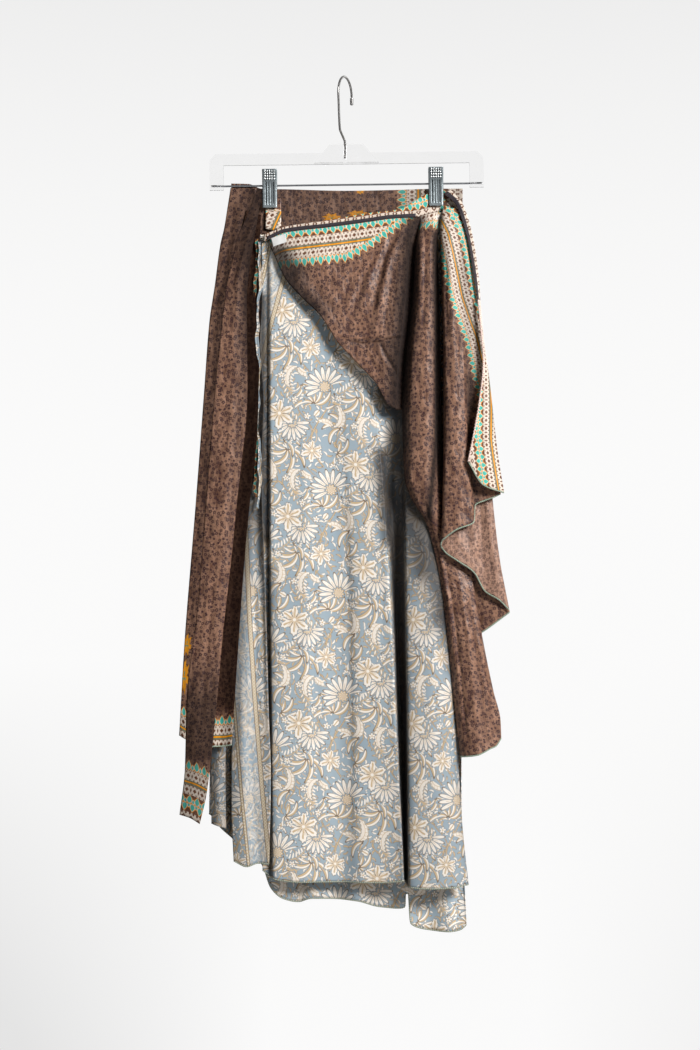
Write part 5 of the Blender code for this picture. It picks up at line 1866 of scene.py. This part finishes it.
# %% Blue layer at the left
def wavy_edge(name, top, foot, across, wide, out, turn, finish, border, dark):
    """A layer's side edge: one of two wavy strips in the dark gap beside the blue front, in even painted
    shade `dark`.
    """
    drop = np.linspace(top, foot, 170)
    wave = 1.5 * np.sin(drop / 19 + turn) + 0.9 * np.sin(drop / 8.3 + 2 * turn) + 0.5 * np.sin(drop / 3.9)
    middle = across + wave - 2.5 * np.sin((drop - top) / (foot - top) * math.pi)
    share = np.linspace(-0.5, 0.5, 6)
    narrow = wide * (0.75 + 0.25 * np.sin(drop / 13 + turn))
    places = middle[:, None] + share * narrow[:, None]
    depth = out + 0.02 * (drop - top) + 0.8 * np.sin(drop / 11 + turn)
    depth = depth[:, None] + 3.0 * share ** 2
    grid = np.stack((places, depth, np.broadcast_to(drop[:, None], places.shape)), -1)
    return shell(name, grid, 0.7, finish, border, phase=(14, 60), shade=even_shade(dark))


blue_edge = wavy_edge("under_left_edge", 214, 560, -110.2, 4.6, 10.5, 0.3, BLUE, no_border, 0.25)
brown_edge = wavy_edge("outer_left_edge", 210, 545, -114.2, 5.6, 8.5, 1.9, BROWN,
                       lambda grid, across, down: (down, 17 + across), 0.65)

# A last fold of the blue layer's side shows below the brown hem at the far left.
CORNER_FOLD = (
    ((846, -172, 9), (900, -173, 10), (968, -173, 11)),
    ((846, -163, 14), (900, -164, 15), (971, -164, 16)),
    ((846, -154, 11), (900, -155, 12), (974, -154, 13)),
)
corner = shell("under_left_corner_edge", loft(CORNER_FOLD, 60, 9), CLOTH_WALL, BLUE, phase=(47, 210),
               shade=shaded((846, 0.6, 0.6), (974, 0.5, 0.55)))

LEFT_CREASES = (
    (1.2, 3.0, ((-118, 620), (-112, 700), (-110, 800))),
    (-1.4, 3.0, ((-108, 640), (-106, 740), (-104, 860))),
    (1.3, 3.5, ((-134, 760), (-132, 880), (-128, 990))),
    (-1.2, 3.0, ((-122, 800), (-120, 900), (-114, 1000))),
)
LEFT_SHADE = shaded(
    (210, 0.97, 0.97, 0.97, 0.97, 0.97), (540, 0.97, 0.97, 0.97, 0.97, 0.97),
    (620, 0.9, 0.7, 0.5, 0.6, 0.9), (700, 0.75, 0.4, 0.1, 0.2, 0.7),
    (800, 0.6, 0.3, 0.2, 0.2, 0.4), (1020, 0.3, 0.2, 0.2, 0.2, 0.3),
)
grid = draped(UNDER_LEFT, 250, 9, LEFT_CREASES, 0.6, 2.9)
trim(blue_edge, "under_left")
trim(brown_edge, "outer_left")
trim(corner, "under_left")
stretch("under_left", grid, BLUE, "gathered", waist, 0.4, beside(BLUE_LEFT_LINE, 0, 1, 1),
        [blue_edge, brown_edge, corner], phase=(130, 40), shade=LEFT_SHADE)
print("strips and folds at the left:", blue_edge.name, brown_edge.name, corner.name)

# %% [markdown]
# ## The back
#
# Both layers hang from the straight back waistband in soft upright folds that deepen towards the hem.
# One function makes the folds of either layer, and they are lofted like the others.

# %% Back layers
def back_panel(edges, layer):
    """One back layer, 0 outer or 1 under: its folds lie at shares of the width and deepen below."""
    form = np.array(BACK_FORM, float)
    left_edge, right_edge = (np.array(edge, float) for edge in edges)
    follows = (1, UNDER_FOLLOWS)[layer]
    folds = []
    for share, turn, stand, *hems in BACK_FOLDS:
        drops = np.linspace(WAIST_SEAM_DROP + GAP, hems[layer], 7)
        start = smooth(left_edge[:, 0], left_edge[:, 1], np.clip(drops, *left_edge[[0, -1], 0]))
        end = smooth(right_edge[:, 0], right_edge[:, 1], np.clip(drops, *right_edge[[0, -1], 0]))
        base, depth, reach = smooth(form[:, 0], form[:, (1 + layer, 3, 4 + layer)], drops).T
        out = base - stand * depth * follows + turn * (reach - base)
        folds.append(np.column_stack((drops, start + share * (end - start), out)))
    return folds


BACK_CREASES = (
    (-2.0, 6, ((-110, 215), (-118, 420), (-126, 700))),
    (2.2, 6, ((-60, 210), (-64, 380), (-70, 640))),
    (-1.8, 5, ((-20, 212), (-24, 330), (-30, 520))),
    (2.0, 6, ((30, 210), (32, 420), (34, 760))),
    (-2.0, 5, ((70, 212), (78, 400), (86, 620))),
    (1.8, 6, ((112, 212), (124, 430), (140, 760))),
    (-1.6, 5, ((0, 420), (-4, 640), (-8, 860))),
    (1.6, 6, ((90, 420), (104, 640), (116, 860))),
)
grid = draped(back_panel(OUTER_BACK_EDGES, 0), 165, 6, BACK_CREASES, 0.9, 7.7)
stretch("outer_back", grid, BROWN, "gathered", waist, 0.5, above_hem(0), grooves=False)
grid = draped(back_panel(UNDER_BACK_EDGES, 1), 220, 6, (), 0.7, 8.3)
stretch("under_back", grid, BLUE, "gathered", waist, 0.4, phase=(60, 90), grooves=False)
for row in CUTS:
    print("cut:", *row)

# %% [markdown]
# ## Last step
#
# Every object's place is brought up to date. The dressed model must stay inside the CAD model's
# box, give or take the little that fabric may stand proud.

# %% Bring the scene up to date
bpy.context.view_layer.update()
